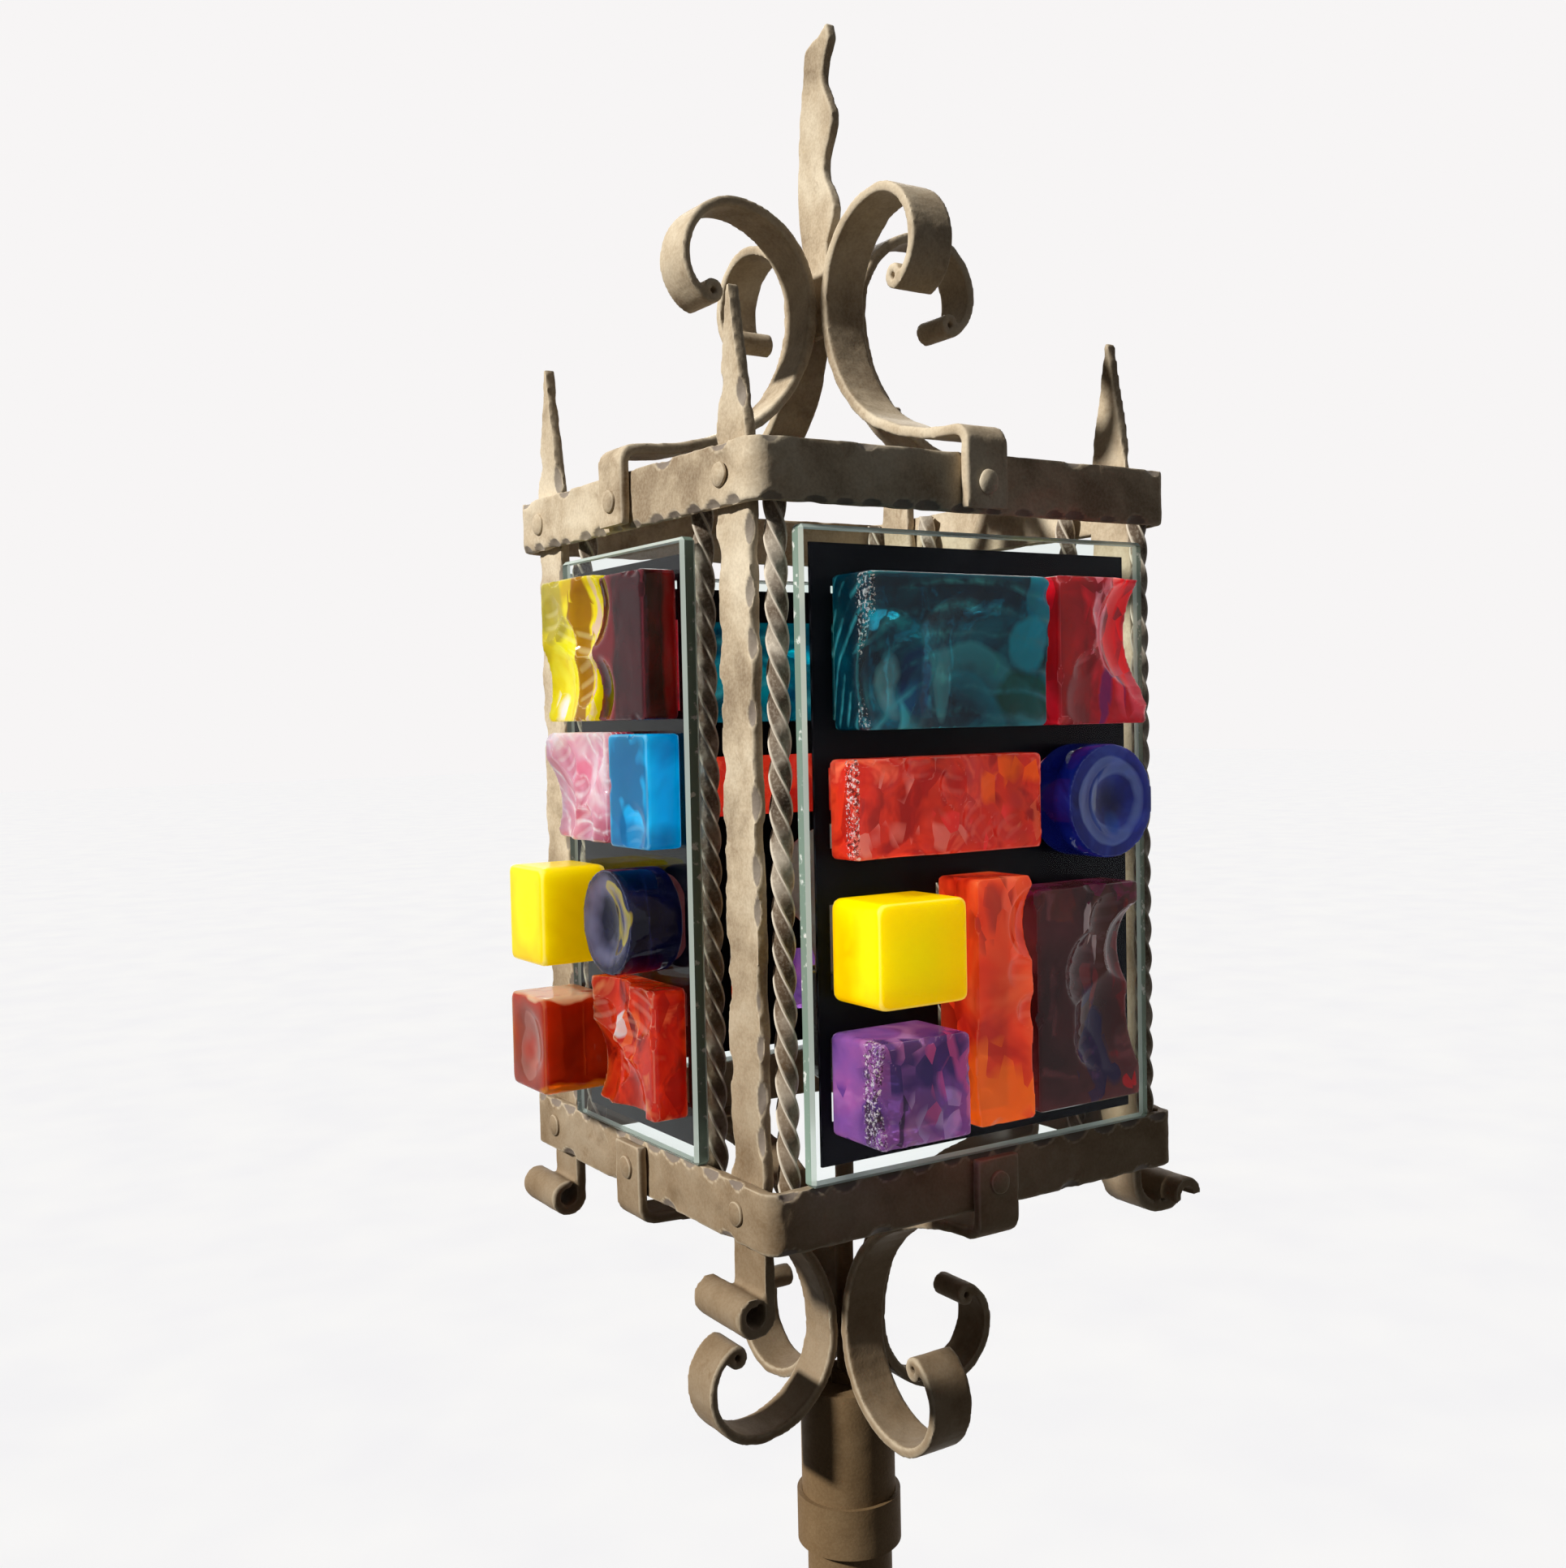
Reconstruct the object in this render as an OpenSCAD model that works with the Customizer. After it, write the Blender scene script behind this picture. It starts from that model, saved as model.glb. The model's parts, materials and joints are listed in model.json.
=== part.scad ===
// Wrought-iron lantern floor lamp: a square lantern of flat and twisted bar stands on a round pole with
// four scroll legs. Thick coloured glass pieces are bonded to four clear panes.
// Millimetres, +Z up. The origin lies on the floor, on the pole's axis.
// The -Y and +Y faces are the wide glazed faces; the -X and +X faces carry the flat posts.

/* [Lantern frame] */
// Width of the square lantern over its bands
lantern_w = 250; // [246:1:300]
// Height of the lantern over both bands
lantern_h = 357; // [350:1:440]
// Height of the bottom band's lower edge above the floor
lantern_z = 1130; // [900:1:1400]
// Height of each band
band_h = 28; // [22:1:32]
// Thickness of the bands' flat bar
band_t = 6; // [5:0.5:8]
// Outer corner radius of the bands
corner_r = 10; // [8:1:14]

/* [Posts] */
// Width of a flat corner post
post_w = 27; // [20:1:30]
// Thickness of a flat corner post
post_t = 6; // [4:0.5:8]
// Distance from a left post's edge to the band's inner corner
post_inset = 9; // [6:0.5:14]
// Height of a spear tip above the top band
spear_h = 70; // [40:1:110]
// Depth of the hammered waves along a post's edges
post_wave = 0.9; // [0:0.1:1.5]
// Centre-line radius of the roll at a post's foot
roll_r = 7.5; // [7:0.5:10]
// Width of the roll, drawn out sideways past the post
roll_w = 40; // [30:1:50]
// Depth of the front left roll's axis below the band
front_drop = 29.5; // [20:0.5:36]
// Depth of the back left roll's axis below the band
back_drop = 23; // [16:0.5:30]
// Straight run of a right post below the band
right_drop = 11; // [8:0.5:18]
// Centre-line radius of the bend that carries a right post outward
carry_r = 18; // [14:1:24]
// Level run between that bend and the roll
carry_run = 5; // [2:0.5:12]

/* [Twisted bars] */
// Side of the twisted square bar
bar_side = 8; // [7:0.5:9.5]
// Height of a quarter turn of the twist
twist_pitch = 15; // [12:0.5:30]
// Clear distance between a post and the twisted bar beside it
side_bar_gap = 17; // [12:0.5:22]

/* [Glazing] */
// Thickness of a clear pane
pane_t = 8; // [5:0.5:10]
// Gap between a pane's top and the top band
pane_gap = 9.5; // [4:0.5:16]
// Distance from the lantern's outer corner line to the edge of a wide pane
wide_pane_margin = 21.75; // [20:0.25:26]
// Distance from the lantern's outer corner line to the edge of a side pane
side_pane_margin = 60.5; // [58:0.5:66]
// Thickness of the dark backing behind a pane
backing_t = 1.5; // [1:0.25:3]
// Clear border between the top or foot of a pane and its backing
backing_border = 7; // [4:0.5:12]
// Clear border between the side edge of a wide pane and its backing
wide_backing_border = 9; // [6:0.5:14]
// Clear border between the side edge of a side pane and its backing
side_backing_border = 10.5; // [10:0.5:14]
// Rim left around the windows of a backing
backing_rim = 3; // [2:0.5:5]
// How far a glass piece laps over the edge of its window in the backing
window_lap = 4; // [2:0.5:6]

/* [Glass pieces] */
// Thickness of the thin slabs
slab_t = 18; // [15:1:24]
// Thickness of the plum-coloured slabs
plum_t = 24; // [18:1:30]
// Thickness of the thick slabs
thick_slab_t = 28; // [24:1:34]
// Depth of the glass cubes
cube_t = 36; // [30:1:42]
// Diameter of the round pieces on the wide faces
wide_round_d = 54; // [46:1:58]
// Diameter of the round pieces on the side faces
side_round_d = 50; // [42:1:52]
// Radius of the worn corners of the glass pieces
glass_corner = 2.5; // [1:0.5:4]

/* [Scrolls] */
// Width of the scroll bar
scroll_w = 25; // [18:1:28]
// Thickness of the scroll bar
scroll_t = 5.5; // [4:0.5:6.5]
// Height of the scrolls' waist above the band
waist_h = 92.5; // [90:0.5:110]
// Centre-line radius of the long lower curve of a scroll
sweep_r = 75; // [70:1:80]
// Centre-line radius of the crown of a scroll
crown_r = 46; // [42:1:50]
// Centre-line radius of the shoulder of a scroll
shoulder_r = 29; // [26:1:32]
// Centre-line radius of the throat before the rolled tip
throat_r = 24; // [20:1:26]
// Centre-line radius of the coiled tip
tip_r = 4.5; // [4:0.25:6]
// Climb of the bar where its level run ends, in degrees
climb = 25; // [20:1:30]

/* [Finial] */
// Height of the flame finial's tip above the top band
finial_h = 240; // [200:1:300]
// Thickness of the finial's flat bar
finial_t = 6; // [4:0.5:8]
// Width of the flame at its belly
flame_w = 29; // [20:1:34]
// Depth of the waves on the flame's edge
flame_wave = 4.5; // [0:0.5:6]
// Height of one wave on the flame's edge
flame_pitch = 47; // [35:1:70]

/* [Pole] */
// Outer diameter of the pole
pole_d = 46; // [40:0.5:46.5]
// Wall of the pole tube
pole_wall = 3; // [2:0.5:5]
// Outer diameter of the head tube that carries the lantern
head_d = 51; // [50:0.5:56]
// Length of the head tube
head_len = 87; // [80:1:140]
// Thickness of the plate that closes the head
head_plate = 5; // [4:0.5:8]
// Wall of the collar ring around the head
ring_wall = 2.5; // [2:0.5:6]
// Height of the collar ring
ring_h = 27; // [15:1:40]
// How far the pole reaches into its head
pole_reach = 60; // [30:1:64]

/* [Base] */
// Width of the square hub at the pole's foot
hub_w = 60; // [56:1:72]
// Height of the hub
hub_h = 84; // [64:1:100]
// Height of the hub's lower end above the floor
hub_z = 92; // [86:1:110]
// Width of a leg's flat bar
leg_w = 32; // [24:1:40]
// Thickness of a leg's flat bar
leg_t = 8; // [6:0.5:10]
// Centre-line radius of a leg's bend below the hub
hip_r = 90; // [70:1:95]
// Length of a leg's slanted run
leg_run = 80; // [60:1:110]
// Length of a foot's flat on the floor
foot_run = 45; // [30:1:80]
// Centre-line radius of the roll at a foot's tip
toe_r = 14; // [10:0.5:20]
// Diameter of the cord inlet
cord_bore_d = 8; // [6:0.5:12]

/* [Lampholder] */
// Outer diameter of the threaded stem tube
stem_d = 10; // [9:0.5:12]
// Bore of the stem tube
stem_bore = 7; // [5:0.5:7.5]
// Height of the lampholder's foot above the bottom band's lower edge
holder_z = 40; // [30:1:60]
// Outer diameter of the lampholder
holder_d = 38; // [37:0.5:44]
// Diameter of the switch key's shaft
key_d = 5; // [4:0.5:6]
// Diameter of the bulb's screw cap
bulb_cap_d = 26; // [25:0.5:26.5]
// Largest diameter of the bulb
bulb_d = 60; // [45:1:80]

/* [Hidden] */

// Gap between pieces that lie side by side
seat_gap = 0.3;
// Radial clearance of a tube slipped over another
slip = 0.2;
// Radial running clearance of the switch key
running = 0.05;
// Clear adhesive film under a glass piece and behind a pane
bond = 0.1;
// Overlap that joins two shapes of one solid
weld = 1;

// Places of the frame's pieces
half = lantern_w / 2;
inner = half - band_t;
top_z = lantern_z + lantern_h;
bar_r = bar_side / sqrt(2);

// A right post stands clear of the twisted bar in its corner; a left one has that bar behind it
edge_reach = 1.25 * post_wave;
left_post_y = inner - post_inset - post_w / 2;
right_post_y = inner - 2 * seat_gap - 2 * bar_r - edge_reach - post_w / 2;
function post_y(side) = side < 0 ? left_post_y : right_post_y;
corner_bar_y = inner - seat_gap - bar_r;
function corner_bar_x(side) = side < 0 ? corner_bar_y - post_t : corner_bar_y;
side_bar = [inner - seat_gap - bar_r, left_post_y - post_w / 2 - side_bar_gap - bar_r];
bar_setback = 2;

// Panes stand on the bottom band, in front of the twisted bars
pane_z = lantern_z + band_h;
pane_h = lantern_h - 2 * band_h - pane_gap;
wide_pane_w = lantern_w - 2 * wide_pane_margin;
side_pane_w = lantern_w - 2 * side_pane_margin;
glass_face = inner + pane_t + bond;

// The glass pieces are laid out on panes of these sizes and spread with the panes
layout_h = 291.5;
wide_layout_w = 206.5;
side_layout_w = 129;
wider = wide_pane_w / wide_layout_w;
side_wider = side_pane_w / side_layout_w;
taller = pane_h / layout_h;
function wide_piece(x, z, w, h) = [x * wider, z * taller, w * wider, h * taller];
function side_piece(x, z, w, h) = [x * side_wider, z * taller, w * side_wider, h * taller];

// Each piece: left edge from the pane's middle, seen from outside, foot above the pane's foot,
// width, height. The round ones keep their diameters about their middles.
teal = wide_piece(-87.5, 201.5, 102, 68);
crimson = wide_piece(20, 201.5, 56, 69);
coral = wide_piece(-90.5, 145, 108, 44);
blue = [52 * wider - wide_round_d / 2, 165 * taller - wide_round_d / 2, wide_round_d, wide_round_d];
yellow = wide_piece(-91.5, 82, 48.5, 46);
amethyst = wide_piece(-92.5, 22.5, 49.5, 46);
orange = wide_piece(-31.5, 21.5, 33, 112);
plum = wide_piece(7.5, 21.5, 65, 104);
amber = side_piece(-52, 208, 55, 71);
dark_red = side_piece(5, 208, 54, 69);
pink = side_piece(-51, 149, 68, 53.5);
cyan = side_piece(20, 148, 39, 53.5);
lemon = side_piece(-61, 86.5, 41, 49);
navy = [34 * side_wider - side_round_d / 2, 113.5 * taller - side_round_d / 2, side_round_d, side_round_d];
burnt = side_piece(-63, 21.5, 41, 48.5);
flame_red = side_piece(-6, 22, 65, 61);

// Scroll: waist radius, strap and the run that joins them
waist_gap = 0.2;
waist_r = scroll_w / 2 + waist_gap + scroll_t / 2;
strap_r = half + scroll_t / 2;
strap_short = 2;
bend_r = 7;
run_end = [waist_r + sweep_r * (1 - sin(climb)), waist_h - sweep_r * cos(climb)];
run_r = (strap_r - bend_r - run_end[0]) / sin(climb);
run_h = run_end[1] - run_r * (1 - cos(climb));

// From this share of its length on, a scroll's bar is drawn thinner towards its coiled tip
draw_start = 0.3;
scroll_taper = 0.5;
tip_closing = 2.2;

// A post's roll closes on itself and is drawn thinner towards its end
roll_closing = 1;
roll_taper = 0.7;

// Head of the pole: its rim meets the undersides of the lower scrolls
crown_x = waist_r + crown_r;
crown_drop = sqrt(pow(crown_r + scroll_t / 2, 2) - pow(crown_x - head_d / 2, 2));
head_top = lantern_z - waist_h - crown_drop - seat_gap;
head_foot = head_top - head_len;
pole_top = head_foot + pole_reach;

// Leg: a bend under the hub, a slanted run, a heel and a flat foot
hip_turn = 60;
heel_turn = 90 - hip_turn;
heel_r = 60;
leg_top = hub_z + hub_h;
leg_drop = hip_r * sin(hip_turn) + leg_run * cos(hip_turn) + heel_r * (1 - cos(heel_turn));
leg_straight = leg_top - leg_t / 2 - leg_drop;

// Rivets
rivet_d = 12;
rivet_h = 3.5;

// Lampholder levels above its foot
holder_foot = lantern_z + holder_z;
holder_wall = 2;
cap_h = 24;
key_h = 18;
shell_h = 36;
socket_floor = 33;
bulb_seat = 58;
nut_af = 17;
nut_h = 6;

$fn = 64;

// Moves along a path of straight stretches [length, 0] and arcs [radius, turn];
// a pose is [x, y, heading]
function arc_count(turn) = max(2, ceil(abs(turn) / 9));
function arc_pose(pose, r, turn) =
    let (s = sign(turn) * r)
    [pose[0] + s * (sin(pose[2] + turn) - sin(pose[2])),
     pose[1] - s * (cos(pose[2] + turn) - cos(pose[2])),
     pose[2] + turn];
function stretch(pose, step) =
    step[1] == 0
    ? [[pose[0] + step[0] * cos(pose[2]), pose[1] + step[0] * sin(pose[2]), pose[2]]]
    : let (n = arc_count(step[1])) [for (k = [1:n]) arc_pose(pose, step[0], step[1] * k / n)];
function walk(pose, steps, i = 0) =
    i == len(steps)
    ? [pose]
    : let (run = stretch(pose, steps[i]), last = len(run) - 1)
      concat([pose], [for (k = [0:1:last - 1]) run[k]], walk(run[last], steps, i + 1));

// Outline of a bar of thickness t bent along a path; past the share `from` of the path it is
// drawn thinner, down to t * taper
function side_point(pose, off) = [pose[0] - off * sin(pose[2]), pose[1] + off * cos(pose[2])];
function bar_outline(path, t, taper, from) =
    let (last = len(path) - 1,
         halves = [for (i = [0:last]) t / 2 * (1 + (taper - 1) * max(0, i / last - from) / (1 - from))])
    concat(
        [for (i = [0:last]) side_point(path[i], halves[i])],
        [for (i = [last:-1:0]) side_point(path[i], -halves[i])]);

// A bar bent in the plane of X and Z, of the given width along Y
module bent_bar(path, t, width, taper = 1, from = 0) {
    rotate([90, 0, 0])
        linear_extrude(width, center = true)
            polygon(bar_outline(path, t, taper, from));
}

module rounded_rect(w, h, r) {
    square([w - 2 * r, h], center = true);
    square([w, h - 2 * r], center = true);
    for (x = [-1, 1], y = [-1, 1])
        translate([x * (w / 2 - r), y * (h / 2 - r)])
            circle(r);
}

// Domed head of a rivet, base at the origin, along +Z
module rivet_head() {
    dome_r = (pow(rivet_d / 2, 2) + pow(rivet_h, 2)) / (2 * rivet_h);
    intersection() {
        translate([0, 0, rivet_h - dome_r])
            sphere(dome_r);
        cylinder(d = rivet_d + 2, h = rivet_h + 1);
    }
}

module tube(d, bore, h) {
    difference() {
        cylinder(d = d, h = h);
        translate([0, 0, -1])
            cylinder(d = bore, h = h + 2);
    }
}

// ---- Iron frame ----

module band(z) {
    color("#8a7a66")
        translate([0, 0, z])
            linear_extrude(band_h)
                difference() {
                    rounded_rect(lantern_w, lantern_w, corner_r);
                    rounded_rect(2 * inner, 2 * inner, corner_r - band_t);
                }
}

// Half width of a post at a height: full below the top band's edge, then a long taper to the tip
function spear_share(z) = max(0, z - top_z) / spear_h;
function post_half(z) = post_w / 2 * (1 - spear_share(z)) + 1 * spear_share(z);
function post_ripple(z, start) = post_wave * (1 - spear_share(z))
    * min(1, (z - lantern_z) / post_w) * (sin(11 * z + start) + sin(6.3 * z + 2 * start)) / 1.6;

module post_blade() {
    step = 8;
    count = floor((lantern_h + spear_h) / step);
    levels = [for (i = [0:count]) lantern_z + (lantern_h + spear_h) * i / count];
    translate([inner - post_t, 0, 0])
        rotate([90, 0, 90])
            linear_extrude(post_t)
                polygon(concat(
                    [for (z = levels) [post_half(z) + post_ripple(z, 0), z]],
                    [for (i = [count:-1:0]) [-post_half(levels[i]) + post_ripple(levels[i], 75), levels[i]]]));
}

// Lower end of a post: it follows the steps of its neck and is rolled up outward. The roll is
// wider than the post, towards +Y with slide 1 and towards -Y with slide -1.
module post_foot(neck, slide) {
    foot = walk([inner - post_t / 2, lantern_z + weld, -90], concat(neck, [[roll_r, 90]]));
    roll = walk(foot[len(foot) - 1], [[roll_r, 90], [roll_r - roll_closing, 90],
        [roll_r - 2 * roll_closing, 30]]);
    bent_bar(foot, post_t, post_w);
    translate([0, slide * (roll_w - post_w) / 2, 0])
        bent_bar(roll, post_t, roll_w, roll_taper);
}

module left_post(y, drop) {
    color("#c9b58e")
        translate([0, y, 0])
            mirror([1, 0, 0]) {
                post_blade();
                post_foot([[weld + drop, 0]], 1);
            }
}

module right_post(y) {
    color("#c9b58e")
        translate([0, y, 0]) {
            post_blade();
            post_foot([[weld + right_drop, 0], [carry_r, 90], [carry_run, 0]], -1);
        }
}

module twisted_bar(x, y) {
    h = lantern_h - 2 * bar_setback;
    quarters = h / twist_pitch;
    translate([x, y, lantern_z + bar_setback])
        linear_extrude(h, twist = 90 * quarters, slices = ceil(4 * quarters), $fn = 4)
            square(bar_side, center = true);
}

// The corner bar of a wide face and the bar beside the post of a side face
module twisted_bars(side, end) {
    color("#6f6154") {
        twisted_bar(side * corner_bar_x(side), end * corner_bar_y);
        twisted_bar(side * side_bar[0], end * side_bar[1]);
    }
}

// ---- Glazing ----

// Frame of a lantern face: +X to the right seen from outside, -Y outward
module on_face(turn) {
    rotate([0, 0, turn])
        children();
}

module pane(turn, w) {
    color("#cfe3dd", 0.4)
        on_face(turn)
            translate([-w / 2, -inner - pane_t, pane_z])
                cube([w, pane_t, pane_h]);
}

// Opening behind a glass piece
module window(p, round) {
    translate([p[0] + p[2] / 2, p[1] + p[3] / 2])
        if (round)
            circle(d = p[2] - 2 * window_lap);
        else
            square([p[2] - 2 * window_lap, p[3] - 2 * window_lap], center = true);
}

// Sheet of a backing, drawn in by rim on all sides
module sheet(w, rim) {
    translate([rim - w / 2, backing_border + rim])
        square([w - 2 * rim, pane_h - 2 * backing_border - 2 * rim]);
}

module backing(turn, w, pieces, round_piece) {
    color("#141416")
        on_face(turn)
            translate([0, -inner + bond + backing_t, pane_z])
                rotate([90, 0, 0])
                    linear_extrude(backing_t)
                        difference() {
                            sheet(w, 0);
                            intersection() {
                                sheet(w, backing_rim);
                                union() {
                                    for (p = pieces)
                                        window(p, false);
                                    window(round_piece, true);
                                }
                            }
                        }
}

module wide_backings() {
    for (turn = [0, 180])
        backing(turn, wide_pane_w - 2 * wide_backing_border,
            [teal, crimson, coral, yellow, amethyst, orange, plum], blue);
}

module side_backings() {
    for (turn = [-90, 90])
        backing(turn, side_pane_w - 2 * side_backing_border,
            [amber, dark_red, pink, cyan, lemon, burnt, flame_red], navy);
}

// ---- Glass pieces ----

// Block with worn corners, standing out from the pane by depth
module block(p, depth, corner = glass_corner) {
    translate([p[0] + p[2] / 2, 0, p[1] + p[3] / 2])
        rotate([90, 0, 0])
            linear_extrude(depth)
                rounded_rect(p[2], p[3], corner);
}

module disc(p, depth) {
    translate([p[0] + p[2] / 2, 0, p[1] + p[3] / 2])
        rotate([90, 0, 0])
            cylinder(d = p[2], h = depth);
}

// Shell-shaped chip of radius r, cut to the given depth into the front at the shares u and v of the piece
module chip(p, depth, u, v, r, cut) {
    translate([p[0] + u * p[2], -depth - r + cut, p[1] + v * p[3]])
        sphere(r);
}

module on_wide_faces() {
    for (turn = [0, 180])
        on_face(turn)
            translate([0, -glass_face, pane_z])
                children();
}

module on_side_faces() {
    for (turn = [-90, 90])
        on_face(turn)
            translate([0, -glass_face, pane_z])
                children();
}

module teal_slabs() {
    color("#0a5a70")
        on_wide_faces()
            difference() {
                block(teal, thick_slab_t);
                chip(teal, thick_slab_t, 0.62, 0.2, 130, 9);
                chip(teal, thick_slab_t, 0.08, 0.35, 40, 11);
            }
}

module crimson_blocks() {
    color("#b01e30")
        on_wide_faces()
            difference() {
                block(crimson, thick_slab_t);
                chip(crimson, thick_slab_t, 0.95, 0.62, 36, 15);
                chip(crimson, thick_slab_t, 0.5, 0.15, 60, 5);
            }
}

module coral_slabs() {
    color("#d9482f")
        on_wide_faces()
            difference() {
                block(coral, slab_t);
                chip(coral, slab_t, 0.25, 0.3, 90, 4);
                chip(coral, slab_t, 0.78, 0.75, 70, 4);
            }
}

module blue_rounds() {
    color("#1c2f8c")
        on_wide_faces()
            difference() {
                disc(blue, thick_slab_t);
                chip(blue, thick_slab_t, 0.56, 0.5, 30, 7);
            }
}

module yellow_cubes() {
    color("#f0d000")
        on_wide_faces()
            block(yellow, cube_t, 1.6 * glass_corner);
}

module amethyst_cubes() {
    color("#7c4f96")
        on_wide_faces()
            difference() {
                block(amethyst, cube_t);
                chip(amethyst, cube_t, -0.1, 0.5, 30, 5);
            }
}

module orange_bars() {
    color("#d2552c")
        on_wide_faces()
            difference() {
                block(orange, thick_slab_t);
                chip(orange, thick_slab_t, 1.1, 0.8, 26, 7);
                chip(orange, thick_slab_t, 0.4, 0.25, 110, 3);
            }
}

module plum_slabs() {
    color("#5f2f3c")
        on_wide_faces()
            difference() {
                block(plum, plum_t);
                chip(plum, plum_t, 0.8, 0.4, 48, 10);
                chip(plum, plum_t, 1.02, 0.68, 26, 14);
            }
}

module amber_slabs() {
    color("#e0a000")
        on_side_faces()
            difference() {
                block(amber, slab_t);
                chip(amber, slab_t, 0.3, 0.25, 46, 8);
                chip(amber, slab_t, 1.0, 0.75, 30, 8);
            }
}

module dark_red_slabs() {
    color("#7a1420")
        on_side_faces()
            difference() {
                block(dark_red, slab_t);
                chip(dark_red, slab_t, 0.0, 0.8, 34, 7);
                chip(dark_red, slab_t, 0.1, 0.2, 30, 6);
            }
}

module pink_slabs() {
    color("#cf8f9c")
        on_side_faces()
            difference() {
                block(pink, slab_t, 2 * glass_corner);
                chip(pink, slab_t, 0.12, 0.3, 40, 9);
                chip(pink, slab_t, 0.6, 0.8, 44, 6);
            }
}

module cyan_slabs() {
    color("#109ad0")
        on_side_faces()
            block(cyan, slab_t);
}

module lemon_cubes() {
    color("#f6e21c")
        on_side_faces()
            block(lemon, cube_t, 1.4 * glass_corner);
}

module navy_rounds() {
    color("#141c46")
        on_side_faces()
            difference() {
                disc(navy, thick_slab_t);
                chip(navy, thick_slab_t, 0.5, 0.5, 70, 3);
            }
}

module burnt_orange_cubes() {
    color("#c8501c")
        on_side_faces()
            difference() {
                block(burnt, cube_t, 1.4 * glass_corner);
                chip(burnt, cube_t, 0.5, 0.5, 60, 3);
            }
}

module flame_red_blocks() {
    color("#dc4a26")
        on_side_faces()
            difference() {
                block(flame_red, slab_t);
                chip(flame_red, slab_t, 0.1, 0.3, 34, 9);
                chip(flame_red, slab_t, 0.55, 0.1, 30, 8);
                chip(flame_red, slab_t, 0.35, 0.95, 30, 7);
            }
}

// ---- Scrolls and finial ----

module scroll(turn) {
    path = walk([strap_r, strap_short - band_h, 90],
        [[band_h - strap_short + run_h - bend_r, 0], [bend_r, 90], [run_r, -climb],
         [sweep_r, climb - 90], [crown_r, -90], [shoulder_r, -90], [throat_r, -60],
         [tip_r, -200], [tip_r - tip_closing, -160]]);
    rotate([0, 0, turn])
        bent_bar(path, scroll_t, scroll_w, scroll_taper, draw_start);
}

module top_scroll(turn) {
    color("#8d7b62")
        translate([0, 0, top_z])
            scroll(turn);
}

module lower_scroll(turn) {
    color("#8d7b62")
        translate([0, 0, lantern_z])
            mirror([0, 0, 1])
                scroll(turn);
}

// Flame: one smooth edge that bellies out, one waved edge; its tang stands between the scrolls
neck_h = waist_h + 13;
belly_h = neck_h + 52;
tang_half = scroll_w / 2;
crest_half = flame_w / 2 - flame_wave;
function smooth_edge(h) =
    h < belly_h
    ? tang_half + (20 - tang_half) * sin(90 * (h - neck_h) / (belly_h - neck_h))
    : 9 + (20 - 9) * cos(90 * (h - belly_h) / (finial_h - belly_h));
function waved_edge(h) =
    let (fade = min(1, (h - neck_h) / 20))
    -tang_half * (1 - fade) - fade * (flame_w - 20 + flame_wave * cos(360 * (h - 191) / flame_pitch));

module flame_finial() {
    step = 6;
    count = ceil((finial_h - neck_h) / step);
    levels = [for (i = [0:count]) neck_h + (finial_h - 8 - neck_h) * i / count];
    color("#cdbb96")
        translate([-finial_t / 2, 0, top_z])
            rotate([90, 0, 90])
                linear_extrude(finial_t)
                    polygon(concat(
                        [[-tang_half, waist_h - 12], [tang_half, waist_h - 12]],
                        [for (h = levels) [smooth_edge(h), h]],
                        [[-crest_half, finial_h]],
                        [for (i = [count:-1:0]) [waved_edge(levels[i]), levels[i]]]));
}

module band_rivets() {
    color("#a8967a")
        for (z = [lantern_z + band_h / 2, top_z - band_h / 2]) {
            for (side = [-1, 1], end = [-1, 1])
                translate([side * half, end * post_y(side), z])
                    rotate([0, side * 90, 0])
                        rivet_head();
            for (turn = [0:90:270])
                rotate([0, 0, turn])
                    translate([half + scroll_t, 0, z])
                        rotate([0, 90, 0])
                            rivet_head();
        }
}

// ---- Pole ----

module pole_head() {
    color("#7d6c58")
        translate([0, 0, head_foot])
            difference() {
                cylinder(d = head_d, h = head_len);
                translate([0, 0, -1])
                    cylinder(d = pole_d + 2 * slip, h = head_len - head_plate + 1);
                cylinder(d = stem_d + 2 * slip, h = head_len + 1);
            }
}

module collar_ring() {
    color("#7d6c58")
        translate([0, 0, head_foot])
            tube(head_d + 2 * slip + 2 * ring_wall, head_d + 2 * slip, ring_h);
}

module pole() {
    color("#6b5c4b")
        translate([0, 0, hub_z])
            tube(pole_d, pole_d - 2 * pole_wall, pole_top - hub_z);
}

// ---- Base ----

module hub() {
    color("#7d6c58")
        translate([0, 0, hub_z])
            rotate([0, 0, 45])
                difference() {
                    linear_extrude(hub_h)
                        rounded_rect(hub_w, hub_w, 6);
                    translate([0, 0, -1])
                        cylinder(d = pole_d + 2 * slip, h = hub_h + 2);
                }
}

module leg(turn) {
    path = walk([hub_w / 2 + leg_t / 2, leg_top, -90],
        [[leg_straight, 0], [hip_r, hip_turn], [leg_run, 0], [heel_r, heel_turn],
         [foot_run, 0], [toe_r, 150], [toe_r - 4, 90]]);
    color("#7d6c58")
        rotate([0, 0, turn])
            bent_bar(path, leg_t, leg_w);
}

module leg_rivets() {
    color("#a8967a")
        for (turn = [45:90:315], share = [0.25, 0.75])
            rotate([0, 0, turn])
                translate([hub_w / 2 + leg_t, 0, leg_top - share * leg_straight])
                    rotate([0, 90, 0])
                        rivet_head();
}

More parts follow.
